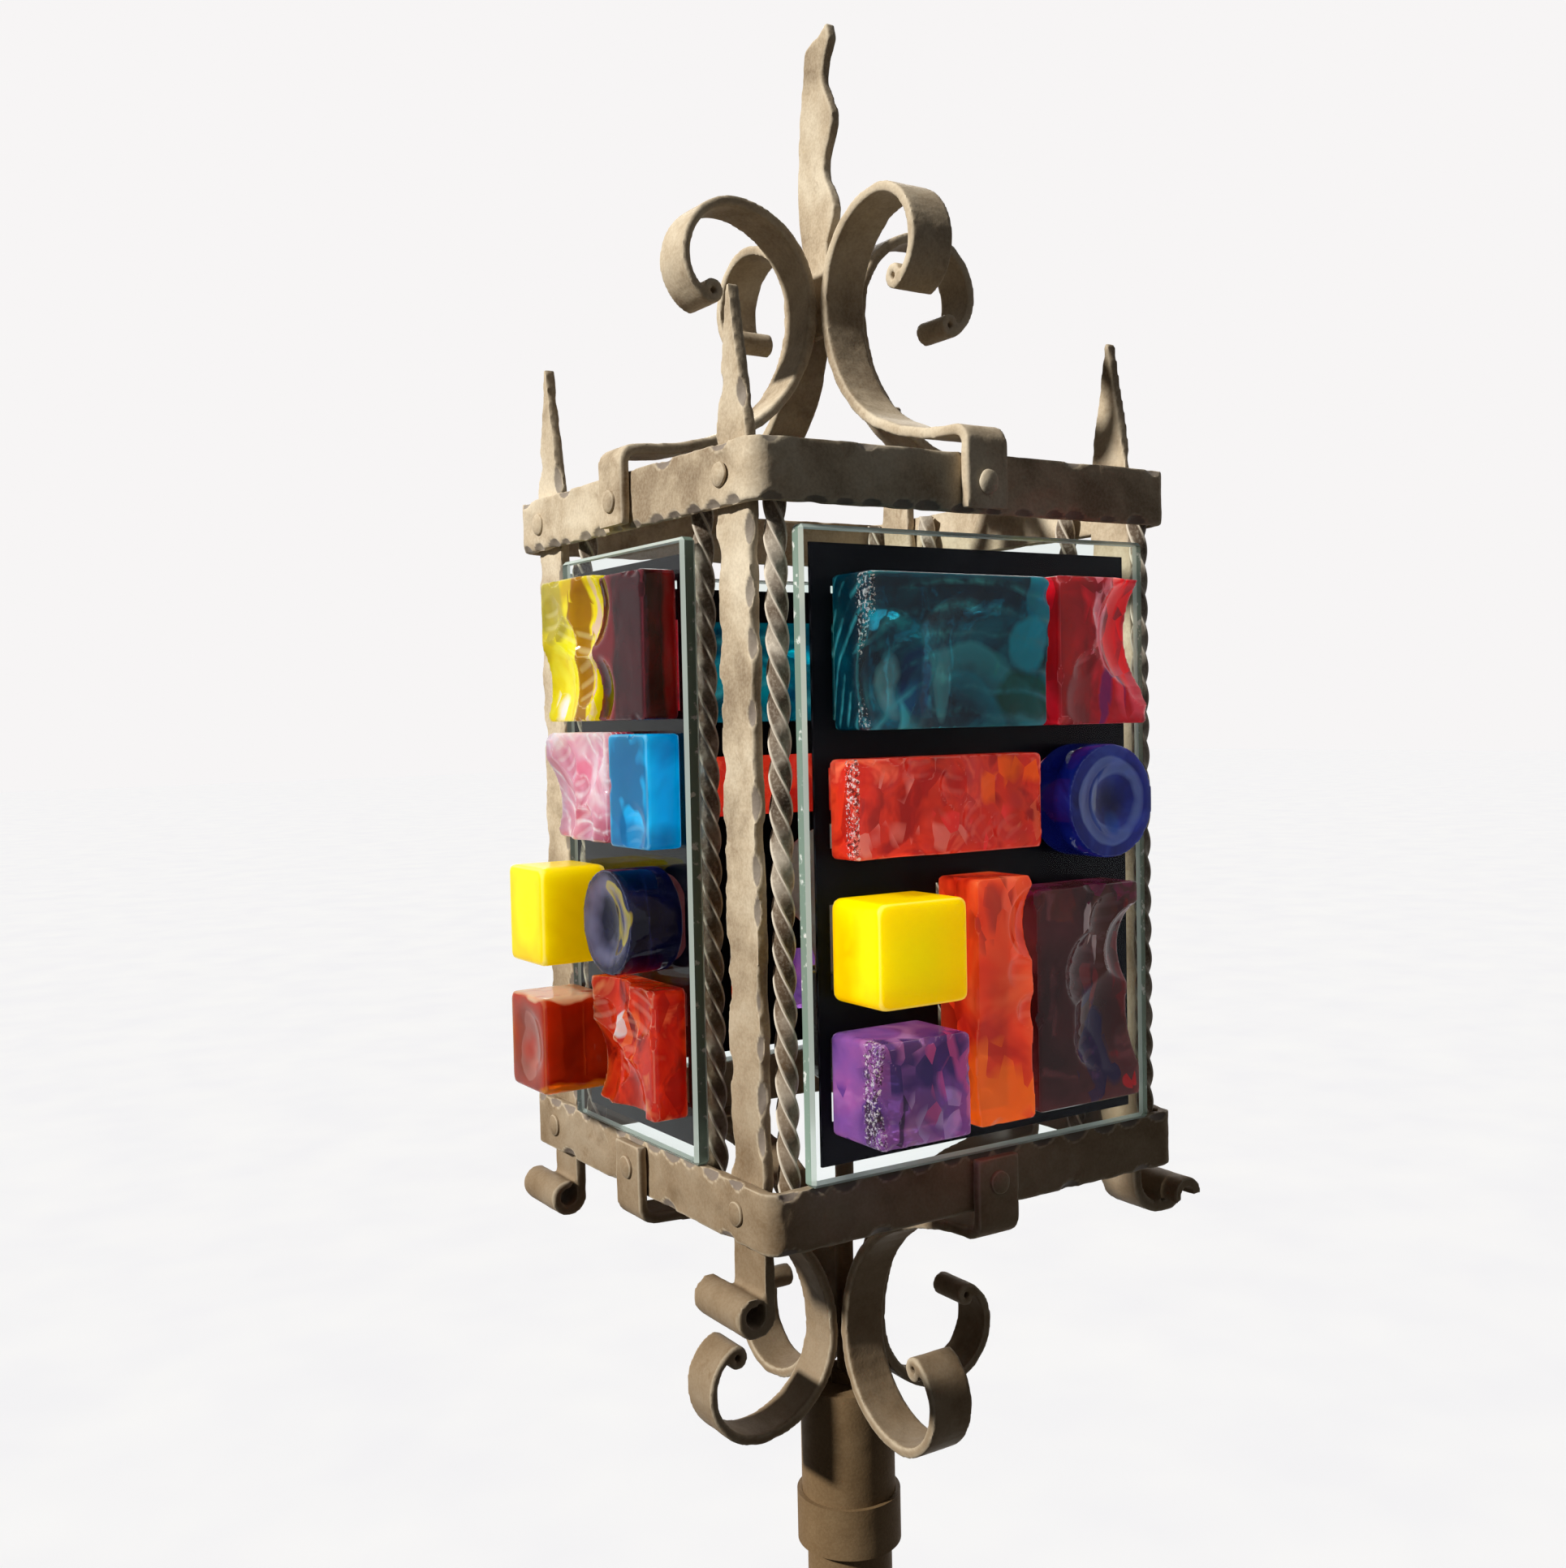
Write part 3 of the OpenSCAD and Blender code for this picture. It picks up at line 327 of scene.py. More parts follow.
GLASS = {
    "teal_slabs": glass_material(
        "teal_glass", [(0.34, (0, 44, 66)), (0.50, (0, 84, 108)), (0.66, (0, 122, 142))],
        [((0.40, 0.92, 1.0), (0.60, 0.26, 0.5), (0, 40, 60), 0.85),
         ((0.95, 0.85, 1.0), (0.08, 0.50, 0.8), (0, 150, 178), 0.9),
         ((0.90, 0.56, 1.0), (0.12, 0.20, 0.8), (24, 190, 214), 0.95),
         ((0.56, 0.02, 1.0), (0.42, 0.60, 0.6), (70, 190, 200), 0.9, "arc"),
         ((0.52, 0.00, 1.0), (0.32, 0.46, 0.6), (20, 150, 170), 0.8, "arc"),
         ((0.14, 0.30, 1.0), (0.08, 0.26, 0.5), (138, 196, 204), 0.75),
         ((0.42, 0.30, 1.0), (0.06, 0.30, 0.5), (96, 176, 186), 0.75),
         ((0.27, 0.30, 1.0), (0.10, 0.26, 0.5), (0, 54, 108), 0.85),
         ((0.86, 0.20, 1.0), (0.16, 0.22, 0.5), (0, 90, 60), 0.8),
         ((0.0, 0.5, 0.3), (0.06, 0.9, 0.6), (0, 20, 34), 0.9)],
        pale=(64, 178, 190), scale=36, clear=0.6, painted_glow=0.1, soft=0.18, warp=0.12,
        sweep=((0.56, -0.25, 1.0), 7.0, 0.7)),
    "crimson_blocks": glass_material(
        "crimson_glass", [(0.34, (112, 12, 30)), (0.50, (176, 22, 38)), (0.68, (226, 30, 48))],
        [((0.14, 0.50, 1.0), (0.26, 0.80, 0.9), (124, 22, 26), 0.9),
         ((0.80, 0.66, 1.0), (0.15, 0.60, 0.9), (255, 8, 24), 0.95),
         ((0.52, 0.70, 1.0), (0.10, 0.36, 0.6), (214, 120, 140), 0.8),
         ((0.58, 0.20, 1.0), (0.14, 0.26, 0.6), (96, 30, 112), 0.85),
         ((0.92, 0.15, 1.0), (0.20, 0.24, 0.8), (224, 80, 100), 0.8)],
        pale=(240, 150, 160), scale=34, distortion=1.0, clear=0.5, painted_glow=0.26, soft=0.2, shards=0.18),
    "coral_slabs": glass_material(
        "coral_glass",
        [(0.36, (160, 26, 16)), (0.46, (214, 56, 30)), (0.56, (200, 46, 34)), (0.68, (244, 112, 80))],
        [((0.20, 0.46, 1.0), (0.10, 0.36, 0.5), (236, 150, 138), 0.85),
         ((0.34, 0.22, 1.0), (0.10, 0.18, 0.5), (232, 136, 120), 0.8),
         ((0.52, 0.70, 1.0), (0.10, 0.16, 0.5), (170, 24, 20), 0.8),
         ((0.64, 0.30, 1.0), (0.13, 0.16, 0.5), (246, 60, 60), 0.7),
         ((0.82, 0.72, 1.0), (0.13, 0.22, 0.5), (255, 106, 10), 0.85),
         ((0.98, 0.50, 1.0), (0.05, 0.60, 0.5), (220, 100, 60), 0.8),
         ((0.0, 0.5, 0.4), (0.05, 0.9, 0.6), (150, 30, 20), 0.8)],
        pale=(255, 176, 156), scale=42, distortion=0.9, clear=0.5, soft=0.3, streak=0.12, shards=0.3,
        warp=0.3),
    "blue_rounds": glass_material(
        "blue_glass", [(0.34, (10, 20, 110)), (0.52, (26, 46, 156)), (0.70, (60, 90, 196))],
        [((0.50, 0.50, 1.0), (0.34, 0.34, 0.2), (14, 22, 122), 0.9),
         ((0.50, 0.50, 1.0), (0.40, 0.40, 0.2), (120, 146, 214), 0.8, "arc"),
         ((0.38, 0.52, 1.0), (0.07, 0.20, 0.3), (176, 190, 226), 0.9),
         ((0.58, 0.34, 1.0), (0.12, 0.16, 0.3), (30, 90, 190), 0.8),
         ((0.50, 0.50, 0.2), (0.90, 0.90, 0.66), (6, 10, 62), 0.9)],
        pale=(120, 146, 220), clear=0.55, soft=0.2, warp=0.08, painted_glow=0.18),
    "yellow_cubes": glass_material(
        "yellow_glass", [(0.30, (236, 186, 0)), (0.52, (248, 208, 0)), (0.75, (255, 226, 0))],
        # The bright middle cloud is a painted glow.
        [((0.46, 0.46, 0.9), (0.56, 0.56, 0.9), (255, 242, 0), 1.0),
         ((0.0, 0.50, 0.3), (0.06, 0.90, 0.5), (214, 158, 0), 0.7)],
        pale=(255, 244, 150), scale=12, distortion=0.5, clear=0.12, rough=0.16, scatter=0.95, reach=0.045,
        soft=0.9, painted_glow=0.4, bleed=(0.8, 1.0, 0.2)),
    "amethyst_cubes": glass_material(
        "amethyst_glass",
        [(0.36, (70, 40, 112)), (0.47, (132, 84, 158)), (0.58, (150, 88, 160)), (0.70, (200, 140, 194))],
        [((0.80, 0.66, 1.0), (0.22, 0.32, 0.5), (232, 96, 160), 0.8),
         ((0.30, 0.80, 1.0), (0.22, 0.22, 0.5), (60, 44, 110), 0.85),
         ((0.50, 0.18, 1.0), (0.24, 0.22, 0.5), (206, 170, 220), 0.85),
         ((0.90, 0.24, 1.0), (0.10, 0.24, 0.5), (240, 130, 180), 0.7),
         ((0.08, 0.16, 0.4), (0.16, 0.34, 0.4), (60, 40, 130), 0.8),
         ((0.02, 0.50, 0.86), (0.05, 0.80, 0.16), (40, 28, 46), 0.85)],
        pale=(236, 208, 240), distortion=0.8, clear=0.6, painted_glow=0.16, soft=0.25, shards=0.5, warp=0.2),
    "orange_bars": glass_material(
        "orange_glass", [(0.34, (176, 44, 24)), (0.50, (224, 74, 36)), (0.68, (244, 110, 60))],
        [((0.45, 0.08, 0.9), (0.80, 0.22, 1.2), (238, 124, 24), 0.8),
         ((0.30, 0.86, 1.0), (0.30, 0.12, 0.6), (140, 54, 44), 0.7),
         ((0.60, 0.80, 1.0), (0.14, 0.14, 0.6), (250, 120, 84), 0.7),
         ((0.0, 0.50, 0.4), (0.10, 0.90, 0.55), (96, 20, 14), 0.85)],
        pale=(250, 150, 110), scale=24, distortion=0.9, clear=0.5, shards=0.25),
    "plum_slabs": glass_material(
        "plum_glass", [(0.34, (66, 26, 30)), (0.50, (92, 44, 46)), (0.70, (116, 54, 60))],
        [((0.70, 0.76, 1.0), (0.16, 0.24, 0.6), (104, 52, 40), 0.8),
         ((0.56, 0.78, 1.0), (0.05, 0.20, 0.6), (226, 206, 208), 1.0),
         ((0.62, 0.50, 1.0), (0.06, 0.16, 0.6), (172, 60, 64), 0.7),
         ((0.66, 0.26, 1.0), (0.20, 0.24, 0.7), (30, 14, 92), 0.95),
         ((0.50, 0.14, 1.0), (0.07, 0.14, 0.6), (60, 36, 96), 0.85),
         ((0.97, 0.62, 1.0), (0.10, 0.30, 0.9), (140, 36, 44), 0.8),
         ((0.97, 0.07, 0.9), (0.08, 0.04, 1.2), (255, 14, 34), 1.0),
         ((0.50, 1.00, 0.4), (0.90, 0.05, 0.8), (140, 30, 88), 0.8)],
        pale=(150, 110, 116), scale=20, distortion=0.8, clear=0.6, painted_glow=0.12, soft=0.16, warp=0.2,
        shards=0.16),
    "amber_slabs": glass_material(
        "amber_glass", [(0.34, (206, 176, 10)), (0.50, (240, 222, 0)), (0.68, (255, 250, 60))],
        [((0.20, 0.82, 1.0), (0.34, 0.26, 0.6), (170, 158, 62), 0.85),
         # The bright middle cloud is a painted glow.
         ((0.46, 0.46, 1.0), (0.22, 0.26, 0.6), (255, 246, 0), 1.0),
         ((0.74, 0.50, 1.0), (0.14, 0.80, 0.9), (140, 78, 0), 0.9),
         ((0.94, 0.50, 1.0), (0.07, 0.60, 0.9), (226, 190, 196), 0.8),
         # The near-white cloud low on the left is a painted highlight.
         ((0.28, 0.16, 1.0), (0.20, 0.16, 0.5), (250, 252, 255), 0.95)],
        pale=(255, 250, 200), scale=28, distortion=1.0, clear=0.4, reach=0.02, painted_glow=0.1, soft=0.2,
        shards=0.12, bleed=(0.8, 1.0, 0.3)),
    "dark_red_slabs": glass_material(
        "dark_red_glass", [(0.34, (40, 8, 14)), (0.50, (66, 12, 20)), (0.70, (110, 22, 34))],
        [((0.20, 0.62, 1.0), (0.30, 0.60, 0.2), (150, 30, 44), 0.8),
         ((0.20, 0.16, 1.0), (0.30, 0.30, 0.2), (206, 40, 48), 0.85),
         ((0.80, 0.50, 1.0), (0.30, 0.90, 0.1), (70, 14, 26), 0.8),
         ((1.00, 0.45, 0.2), (0.30, 0.60, 0.3), (176, 22, 26), 0.85)],
        pale=(170, 70, 90), clear=0.6, painted_glow=0.03),
    "pink_slabs": glass_material(
        "pink_glass", [(0.36, (176, 84, 110)), (0.50, (220, 150, 172)), (0.62, (236, 206, 216))],
        [((1.0, 0.50, 0.4), (0.06, 0.80, 0.6), (150, 14, 36), 0.95),
         ((0.52, 0.60, 1.0), (0.16, 0.22, 0.5), (226, 110, 140), 0.8)],
        pale=(250, 244, 248), scale=26, distortion=0.8, clear=0.35, streak=0.3, painted_glow=0.1,
        sweep=((1.1, 1.15, 1.0), 7.0, 0.95)),
    "cyan_slabs": glass_material(
        "cyan_glass", [(0.34, (0, 134, 190)), (0.52, (0, 176, 232)), (0.70, (40, 196, 246))],
        [((0.50, 0.50, 1.0), (0.80, 0.80, 0.06), (0, 84, 124), 0.9),
         ((0.50, 0.06, 0.8), (0.90, 0.22, 1.2), (0, 96, 148), 0.7)],
        pale=(150, 220, 244), scale=20, distortion=0.8),
    "lemon_cubes": glass_material(
        "lemon_glass", [(0.30, (214, 178, 0)), (0.52, (232, 200, 0)), (0.75, (244, 220, 20))],
        # The bright middle cloud is a painted glow.
        [((0.5, 0.54, 0.8), (0.46, 0.46, 0.9), (255, 240, 0), 1.0)],
        pale=(255, 246, 160), scale=12, distortion=0.5, clear=0.12, rough=0.16, scatter=0.95, reach=0.045,
        soft=0.9, painted_glow=0.34, bleed=(0.8, 1.0, 0.2)),
    "navy_rounds": glass_material(
        "navy_glass", [(0.34, (4, 6, 40)), (0.52, (8, 12, 60)), (0.70, (30, 38, 100))],
        [((0.50, 0.50, 1.0), (0.46, 0.46, 0.14), (140, 140, 176), 0.85),
         ((0.56, 0.50, 1.0), (0.28, 0.30, 0.14), (30, 40, 92), 0.9),
         ((0.66, 0.56, 1.0), (0.28, 0.34, 0.14), (214, 196, 70), 0.8, "arc")],
        pale=(150, 160, 196), clear=0.6, soft=0.3, painted_glow=0.06),
    "burnt_orange_cubes": glass_material(
        "burnt_orange_glass", [(0.34, (150, 36, 6)), (0.52, (184, 50, 10)), (0.70, (214, 78, 20))],
        [((0.50, 0.50, 1.0), (0.56, 0.56, 0.12), (140, 72, 56), 0.85),
         # The pale strip along the top is a painted reflection.
         ((0.50, 1.0, 0.5), (0.90, 0.06, 0.8), (244, 206, 170), 0.8),
         ((0.46, 0.46, 1.0), (0.24, 0.26, 0.12), (180, 50, 24), 0.9),
         ((0.52, 0.46, 1.0), (0.30, 0.38, 0.12), (200, 150, 140), 0.35, "arc"),
         ((1.0, 0.04, 0.5), (0.30, 0.10, 0.7), (255, 160, 10), 0.8)],
        pale=(232, 150, 110), scale=20, distortion=1.0, rough=0.06, reach=0.04, painted_glow=0.06),
    "flame_red_blocks": glass_material(
        "flame_glass",
        [(0.34, (120, 16, 8)), (0.47, (220, 56, 20)), (0.58, (196, 36, 16)), (0.68, (250, 140, 90))],
        # The two near-white clouds are painted reflections.
        [((0.24, 0.34, 1.0), (0.10, 0.26, 0.4), (206, 190, 232), 0.9),
         ((0.44, 0.78, 1.0), (0.12, 0.12, 0.4), (244, 236, 240), 0.85),
         ((0.62, 0.50, 1.0), (0.10, 0.40, 0.4), (255, 120, 60), 0.7),
         ((1.0, 0.50, 0.4), (0.06, 0.80, 0.6), (170, 24, 14), 0.9)],
        pale=(255, 196, 170), scale=46, distortion=1.0, clear=0.55, painted_glow=0.08, soft=0.18, shards=0.25,
        warp=0.3),
}


# ---------------------------------------------------------------- mesh tools
BODY = {node: body for body, nodes in frame["record"]["behaviour"]["bodies"].items() for node in nodes}


def add_piece(name, mesh, node, materials, smooth_angle=None):
    """Puts a finished mesh into the scene in place of a CAD node."""
    piece = bpy.data.objects.new(name, mesh)
    bpy.context.scene.collection.objects.link(piece)
    for material in materials:
        mesh.materials.append(material)
    if smooth_angle is not None:
        mesh.polygons.foreach_set("use_smooth", [True] * len(mesh.polygons))
        mesh.set_sharp_from_angle(angle=math.radians(smooth_angle))
    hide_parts(node)
    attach(piece, BODY[node])


def welded(mesh):
    """A bmesh of a mesh, with its doubled vertices joined."""
    bm = bmesh.new()
    bm.from_mesh(mesh)
    bmesh.ops.remove_doubles(bm, verts=bm.verts, dist=WELD)
    return bm


def finished(bm, name):
    """The mesh that a bmesh has built."""
    mesh = bpy.data.meshes.new(name)
    bm.to_mesh(mesh)
    bm.free()
    return mesh


def skin(bm, rings):
    """Faces between each ring of vertices and the next, and over both ends."""
    bm.faces.new(rings[0][::-1])
    for before, ring in zip(rings, rings[1:]):
        for k in range(len(ring)):
            after = (k + 1) % len(ring)
            bm.faces.new((before[k], before[after], ring[after], ring[k]))
    bm.faces.new(rings[-1])


def remeshed(node, voxel):
    """A fine copy of a CAD node's mesh, even to a voxel given in millimetres."""
    copy = bpy.data.objects.new("copy", finished(welded(frame["nodes"][node].data), "copy"))
    bpy.context.scene.collection.objects.link(copy)
    mod = copy.modifiers.new("remesh", "REMESH")
    mod.mode = "VOXEL"
    mod.voxel_size = voxel * MM
    mod.use_smooth_shade = True
    graph = bpy.context.evaluated_depsgraph_get()
    mesh = bpy.data.meshes.new_from_object(copy.evaluated_get(graph))
    bpy.data.objects.remove(copy)
    return mesh


class Clay:
    """Vertex positions, in millimetres, and neighbours of a mesh as arrays."""

    RING_STEP = 2.6         # spacing of the rings that a scoop is broken in, near where the blow fell
    RING_DEPTH = 1.5        # how deep a scoop is where its rings are in full
    BARE_DEPTH = 0.8        # a deeper hammer blow leaves a barer facet

    def __init__(self, mesh):
        self.mesh = mesh
        count = len(mesh.vertices)
        self.co = np.empty(count * 3, "f")
        mesh.vertices.foreach_get("co", self.co)
        self.co = self.co.reshape(-1, 3) / MM
        self.edges = np.empty(len(mesh.edges) * 2, "i")
        mesh.edges.foreach_get("vertices", self.edges)
        self.edges = self.edges.reshape(-1, 2)
        self.degree = np.bincount(self.edges.ravel(), minlength=count).astype("f")
        self.facet = np.zeros(count, "f")
        self.ring = np.zeros(count, "f")

    def mean(self, value):
        """The mean of each vertex's neighbours."""
        total = np.zeros_like(value)
        np.add.at(total, self.edges[:, 0], value[self.edges[:, 1]])
        np.add.at(total, self.edges[:, 1], value[self.edges[:, 0]])
        return total / (self.degree[:, None] if value.ndim > 1 else self.degree)

    def save(self):
        self.mesh.vertices.foreach_set("co", (self.co * MM).ravel())
        self.mesh.update()

    def normals(self):
        self.save()
        found = np.empty(len(self.co) * 3, "f")
        self.mesh.vertex_normals.foreach_get("vector", found)
        return found.reshape(-1, 3)

    def relax(self, times):
        """Rounds the mesh: each time, every vertex moves half way to its neighbours' mean."""
        for _ in range(times):
            self.co += (self.mean(self.co) - self.co) * 0.5

    def edge_weight(self, spread):
        """0 on flats, 1 along outer edges and as many vertices beyond them as spread says."""
        bend = -np.einsum("ij,ij->i", self.mean(self.co) - self.co, self.normals())
        weight = np.clip(bend / (np.percentile(np.abs(bend), 97) + 1e-9), 0, 1)
        for _ in range(spread):
            weight = np.maximum(weight, self.mean(weight))
        return weight

    def field(self, size, seed):
        """Smooth noise from -1 to 1 at each vertex, with features of the given size."""
        shift = Vector((seed * 7.31, seed * 3.17, seed * 5.77))
        return np.array([noise.noise(Vector(p) / size + shift) for p in self.co.tolist()], "f")

    def push(self, amount):
        self.co += self.normals() * amount[:, None]

    def carve(self, place, inward, radius, depth, ripple=0.0, origin=None, among=None):
        """Sinks a ball of the given radius into the surface at a place and moves what it meets inward.
        Ripples spread from the origin, where the blow fell."""
        inward = np.array(inward, "f") / np.linalg.norm(inward)
        away = self.co - (np.array(place, "f") - inward * (radius - depth))
        along = away @ inward
        room = along * along - (np.einsum("ij,ij->i", away, away) - radius * radius)
        shift = np.sqrt(np.maximum(room, 0)) - along
        met = (room > 0) & (shift > 0) & (along > 0)
        if among is not None:
            met &= among
        shift = np.where(met, shift, 0)
        if ripple:
            reach = np.linalg.norm(self.co - np.array(origin, "f"), axis=1)
            wave = 0.5 + 0.5 * np.sin(2 * math.pi * np.power(reach, 0.8) / self.RING_STEP)
            inside = np.clip(shift / self.RING_DEPTH, 0, 1)
            shift += 2 * ripple * inside * wave
            self.ring = np.where(inside > 0, wave * inside, self.ring)
        self.co += shift[:, None] * inward
        if depth > self.BARE_DEPTH:
            self.facet = np.maximum(self.facet, np.clip(shift / (0.3 * depth), 0, 1))

    def attribute(self, name, value):
        """Stores a value, or a vector, of each vertex for the materials."""
        kind, field = ("FLOAT_VECTOR", "vector") if value.ndim > 1 else ("FLOAT", "value")
        layer = self.mesh.attributes.new(name, kind, "POINT")
        layer.data.foreach_set(field, value.astype("f").ravel())


# ---------------------------------------------------------------- places in the frame, in millimetres
def box_mm(node):
    low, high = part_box(node)
    return np.array(low) / MM, np.array(high) / MM


def turned(point, quarter):
    """A point turned by quarters about the lamp's axis."""
    x, y, z = point
    for _ in range(quarter):
        x, y = -y, x
    return (x, y, z)


LANTERN_LOW, LANTERN_HIGH = box_mm("bottom_band")[0][2], box_mm("top_band")[1][2]
HALF = box_mm("top_band")[1][0]
BAND_T = 6.0
POST_W = 27.0
SPEAR_H = box_mm("post_front_left")[1][2] - LANTERN_HIGH
LEFT_POST_Y, RIGHT_POST_Y = 96.5, 92.46
POST_Y = {"post_front_left": -LEFT_POST_Y, "post_back_left": LEFT_POST_Y,
          "post_front_right": -RIGHT_POST_Y, "post_back_right": RIGHT_POST_Y}


# ---------------------------------------------------------------- forged iron
# Sizes of what hammering leaves; and of single blows: how far apart they fall, the hammer's radius and
# how deep it goes.
WIDE_DENT, SMALL_DENT, NICK = 14, 5, 9
BAND_GAP, BAND_RADIUS, BAND_DEPTH = (14, 24), (11, 17), (1.8, 3.0)
POST_GAP, POST_RADIUS, POST_DEPTH = (18, 38), (12, 22), (1.4, 2.6)
FACE_COUNT, FACE_RADIUS, FACE_DEPTH = 60, (20, 40), (0.2, 0.5)


def forged(node, voxel, dents, notch, seed, blows=()):
    """Hand-forged iron: hammer blows along its edges, dents and worn, uneven arrises; dents and notch
    are the depths of its dents and of the notches in its arrises."""
    clay = Clay(remeshed(node, voxel))
    clay.relax(1)
    for place, inward, radius, depth in blows:
        clay.carve(place, inward, radius, depth)
    edge = clay.edge_weight(1)
    hollow = np.abs(clay.field(WIDE_DENT, seed)) * dents
    hollow += np.abs(clay.field(SMALL_DENT, seed + 2)) * dents * 0.4
    nicks = np.clip(clay.field(NICK, seed + 4) * 1.6, 0, 1) * notch
    clay.push(-(hollow * (1 - edge) + nicks * edge))
    clay.attribute("edge", edge)
    clay.attribute("facet", clay.facet)
    clay.save()
    add_piece(node + "_forged", clay.mesh, node, [IRON], 50)


def band_blows(edge_z, up, seed):
    """Scallops hammered along one outer arris of a band; up is 1 where the band lies above that arris."""
    draw = random.Random(seed)
    blows = []
    for quarter in range(4):
        x = -HALF + 9
        while x < HALF - 8:
            place = (x, -HALF, edge_z + up * draw.uniform(-0.4, 0.8))
            inward = (draw.uniform(-0.12, 0.12), 1.0, up * draw.uniform(0.4, 0.8))
            blows.append((turned(place, quarter), turned(inward, quarter),
                          draw.uniform(*BAND_RADIUS), draw.uniform(*BAND_DEPTH)))
            x += draw.uniform(*BAND_GAP)
    return blows


def face_blows(low_z, high_z, seed):
    """Light blows scattered over a band's outer faces."""
    draw = random.Random(seed)
    blows = []
    for _ in range(FACE_COUNT):
        place = (draw.uniform(-HALF, HALF), -HALF, draw.uniform(low_z, high_z))
        inward = (draw.uniform(-0.15, 0.15), 1.0, draw.uniform(-0.2, 0.2))
        quarter = draw.randrange(4)
        blows.append((turned(place, quarter), turned(inward, quarter),
                      draw.uniform(*FACE_RADIUS), draw.uniform(*FACE_DEPTH)))
    return blows


def post_blows(node, seed):
    """Scallops along both outer arrises of a post, further apart than on the bands."""
    low, high = box_mm(node)
    side = 1 if low[0] + high[0] > 0 else -1
    draw = random.Random(seed)
    blows = []
    for flank in (-1, 1):
        z = LANTERN_LOW + draw.uniform(30, 50)
        while z < LANTERN_HIGH + 40:
            taper = 1 - max(0.0, z - LANTERN_HIGH) / SPEAR_H
            place = (side * (HALF - BAND_T), POST_Y[node] + flank * POST_W / 2 * taper, z)
            inward = (-side, -flank * draw.uniform(0.5, 1.1), draw.uniform(-0.15, 0.15))
            blows.append((place, inward, draw.uniform(*POST_RADIUS), draw.uniform(*POST_DEPTH)))
            z += draw.uniform(*POST_GAP)
    return blows


def forged_band(node, seed, struck, seeds):
    """A band whose low or high arris is struck all along, and the other at every third place."""
    low_z, high_z = (corner[2] for corner in box_mm(node))
    arrises = {"low": (low_z, 1), "high": (high_z, -1)}
    other = "high" if struck == "low" else "low"
    blows = band_blows(*arrises[struck], seeds[0]) + band_blows(*arrises[other], seeds[1])[::3]
    blows += face_blows(low_z, high_z, seeds[2])
    forged(node, voxel=1.4, dents=0.5, notch=0.7, seed=seed, blows=blows)


forged_band("top_band", 3, "low", (5, 8, 6))
forged_band("bottom_band", 4, "high", (7, 9, 10))
for seed, node in enumerate(POST_Y):
    forged(node, voxel=1.25, dents=0.4, notch=0.8, seed=11 + seed, blows=post_blows(node, 15 + seed))
for seed, side in enumerate(("front", "left", "back", "right")):
    forged("top_scroll_" + side, voxel=1.3, dents=0.3, notch=0.5, seed=21 + seed)
    forged("lower_scroll_" + side, voxel=1.3, dents=0.3, notch=0.5, seed=31 + seed)
forged("flame_finial", voxel=1.1, dents=0.4, notch=0.8, seed=41)
for seed in range(4):
    forged("leg_%d" % (seed + 1), voxel=2.0, dents=0.5, notch=0.8, seed=51 + seed)


# ---------------------------------------------------------------- twisted bars
SIDE, PITCH, RING_STEP, WORN_RADIUS = 8.0, 15.0, 0.9, 0.55
END_SETBACK, SEAT_GAP = 2.0, 0.3
CORNER = HALF - BAND_T - SEAT_GAP - SIDE / math.sqrt(2)
BESIDE_Y = 60.34


def bar_section():
    """A square with worn arrises and sides drawn slightly hollow: each point's place, and whether it
    belongs to an arris."""
    section = []
    for quarter in range(4):
        corner = math.radians(45 + 90 * quarter)
        x, y = (math.copysign(SIDE / 2 - WORN_RADIUS, part) for part in (math.cos(corner), math.sin(corner)))
        for bend in (-38, 0, 38):
            angle = corner + math.radians(bend)
            section.append((x + WORN_RADIUS * math.cos(angle), y + WORN_RADIUS * math.sin(angle), 1.0))
        angle = math.radians(90 + 90 * quarter)
        for share, hollow in ((0.30, 0.955), (0.5, 0.93), (0.70, 0.955)):
            out, slide = SIDE / 2 * hollow, (0.5 - share) * SIDE
            section.append((out * math.cos(angle) + slide * math.sin(angle),
                            out * math.sin(angle) - slide * math.cos(angle), 0.0))
    return section


def twisted_bar(bm, layer, x, y):
    """A square bar that turns a quarter every PITCH and is drawn a little thinner here and there."""
    low_z, high_z = LANTERN_LOW + END_SETBACK, LANTERN_HIGH - END_SETBACK
    count = int((high_z - low_z) / RING_STEP)
    section = bar_section()
    rings = []
    for i in range(count + 1):
        z = low_z + (high_z - low_z) * i / count
        turn = -math.radians(90) * (z - low_z) / PITCH
        shrink = 0.975 + 0.025 * noise.noise(Vector((x, y, z * 0.09)))
        ring = []
        for px, py, arris in section:
            vert = bm.verts.new(((x + shrink * (px * math.cos(turn) - py * math.sin(turn))) * MM,
                                 (y + shrink * (px * math.sin(turn) + py * math.cos(turn))) * MM, z * MM))
            vert[layer] = arris
            ring.append(vert)
        rings.append(ring)
    skin(bm, rings)


for name, sx, sy in (("front_left", -1, -1), ("back_left", -1, 1),
                     ("front_right", 1, -1), ("back_right", 1, 1)):
    bm = bmesh.new()
    # The arrises are marked for the iron material, which lightens them: on these bars mostly a painted
    # highlight along each ridge.
    layer = bm.verts.layers.float.new("edge")
    twisted_bar(bm, layer, sx * (CORNER - BAND_T if sx < 0 else CORNER), sy * CORNER)
    twisted_bar(bm, layer, sx * CORNER, sy * BESIDE_Y)
    add_piece("twisted_pair_" + name, finished(bm, "twisted"), "twisted_bars_" + name, [IRON_TWIST], 35)


# ---------------------------------------------------------------- rivets
RIVET_D, RIVET_SEGMENTS = 12.0, 26
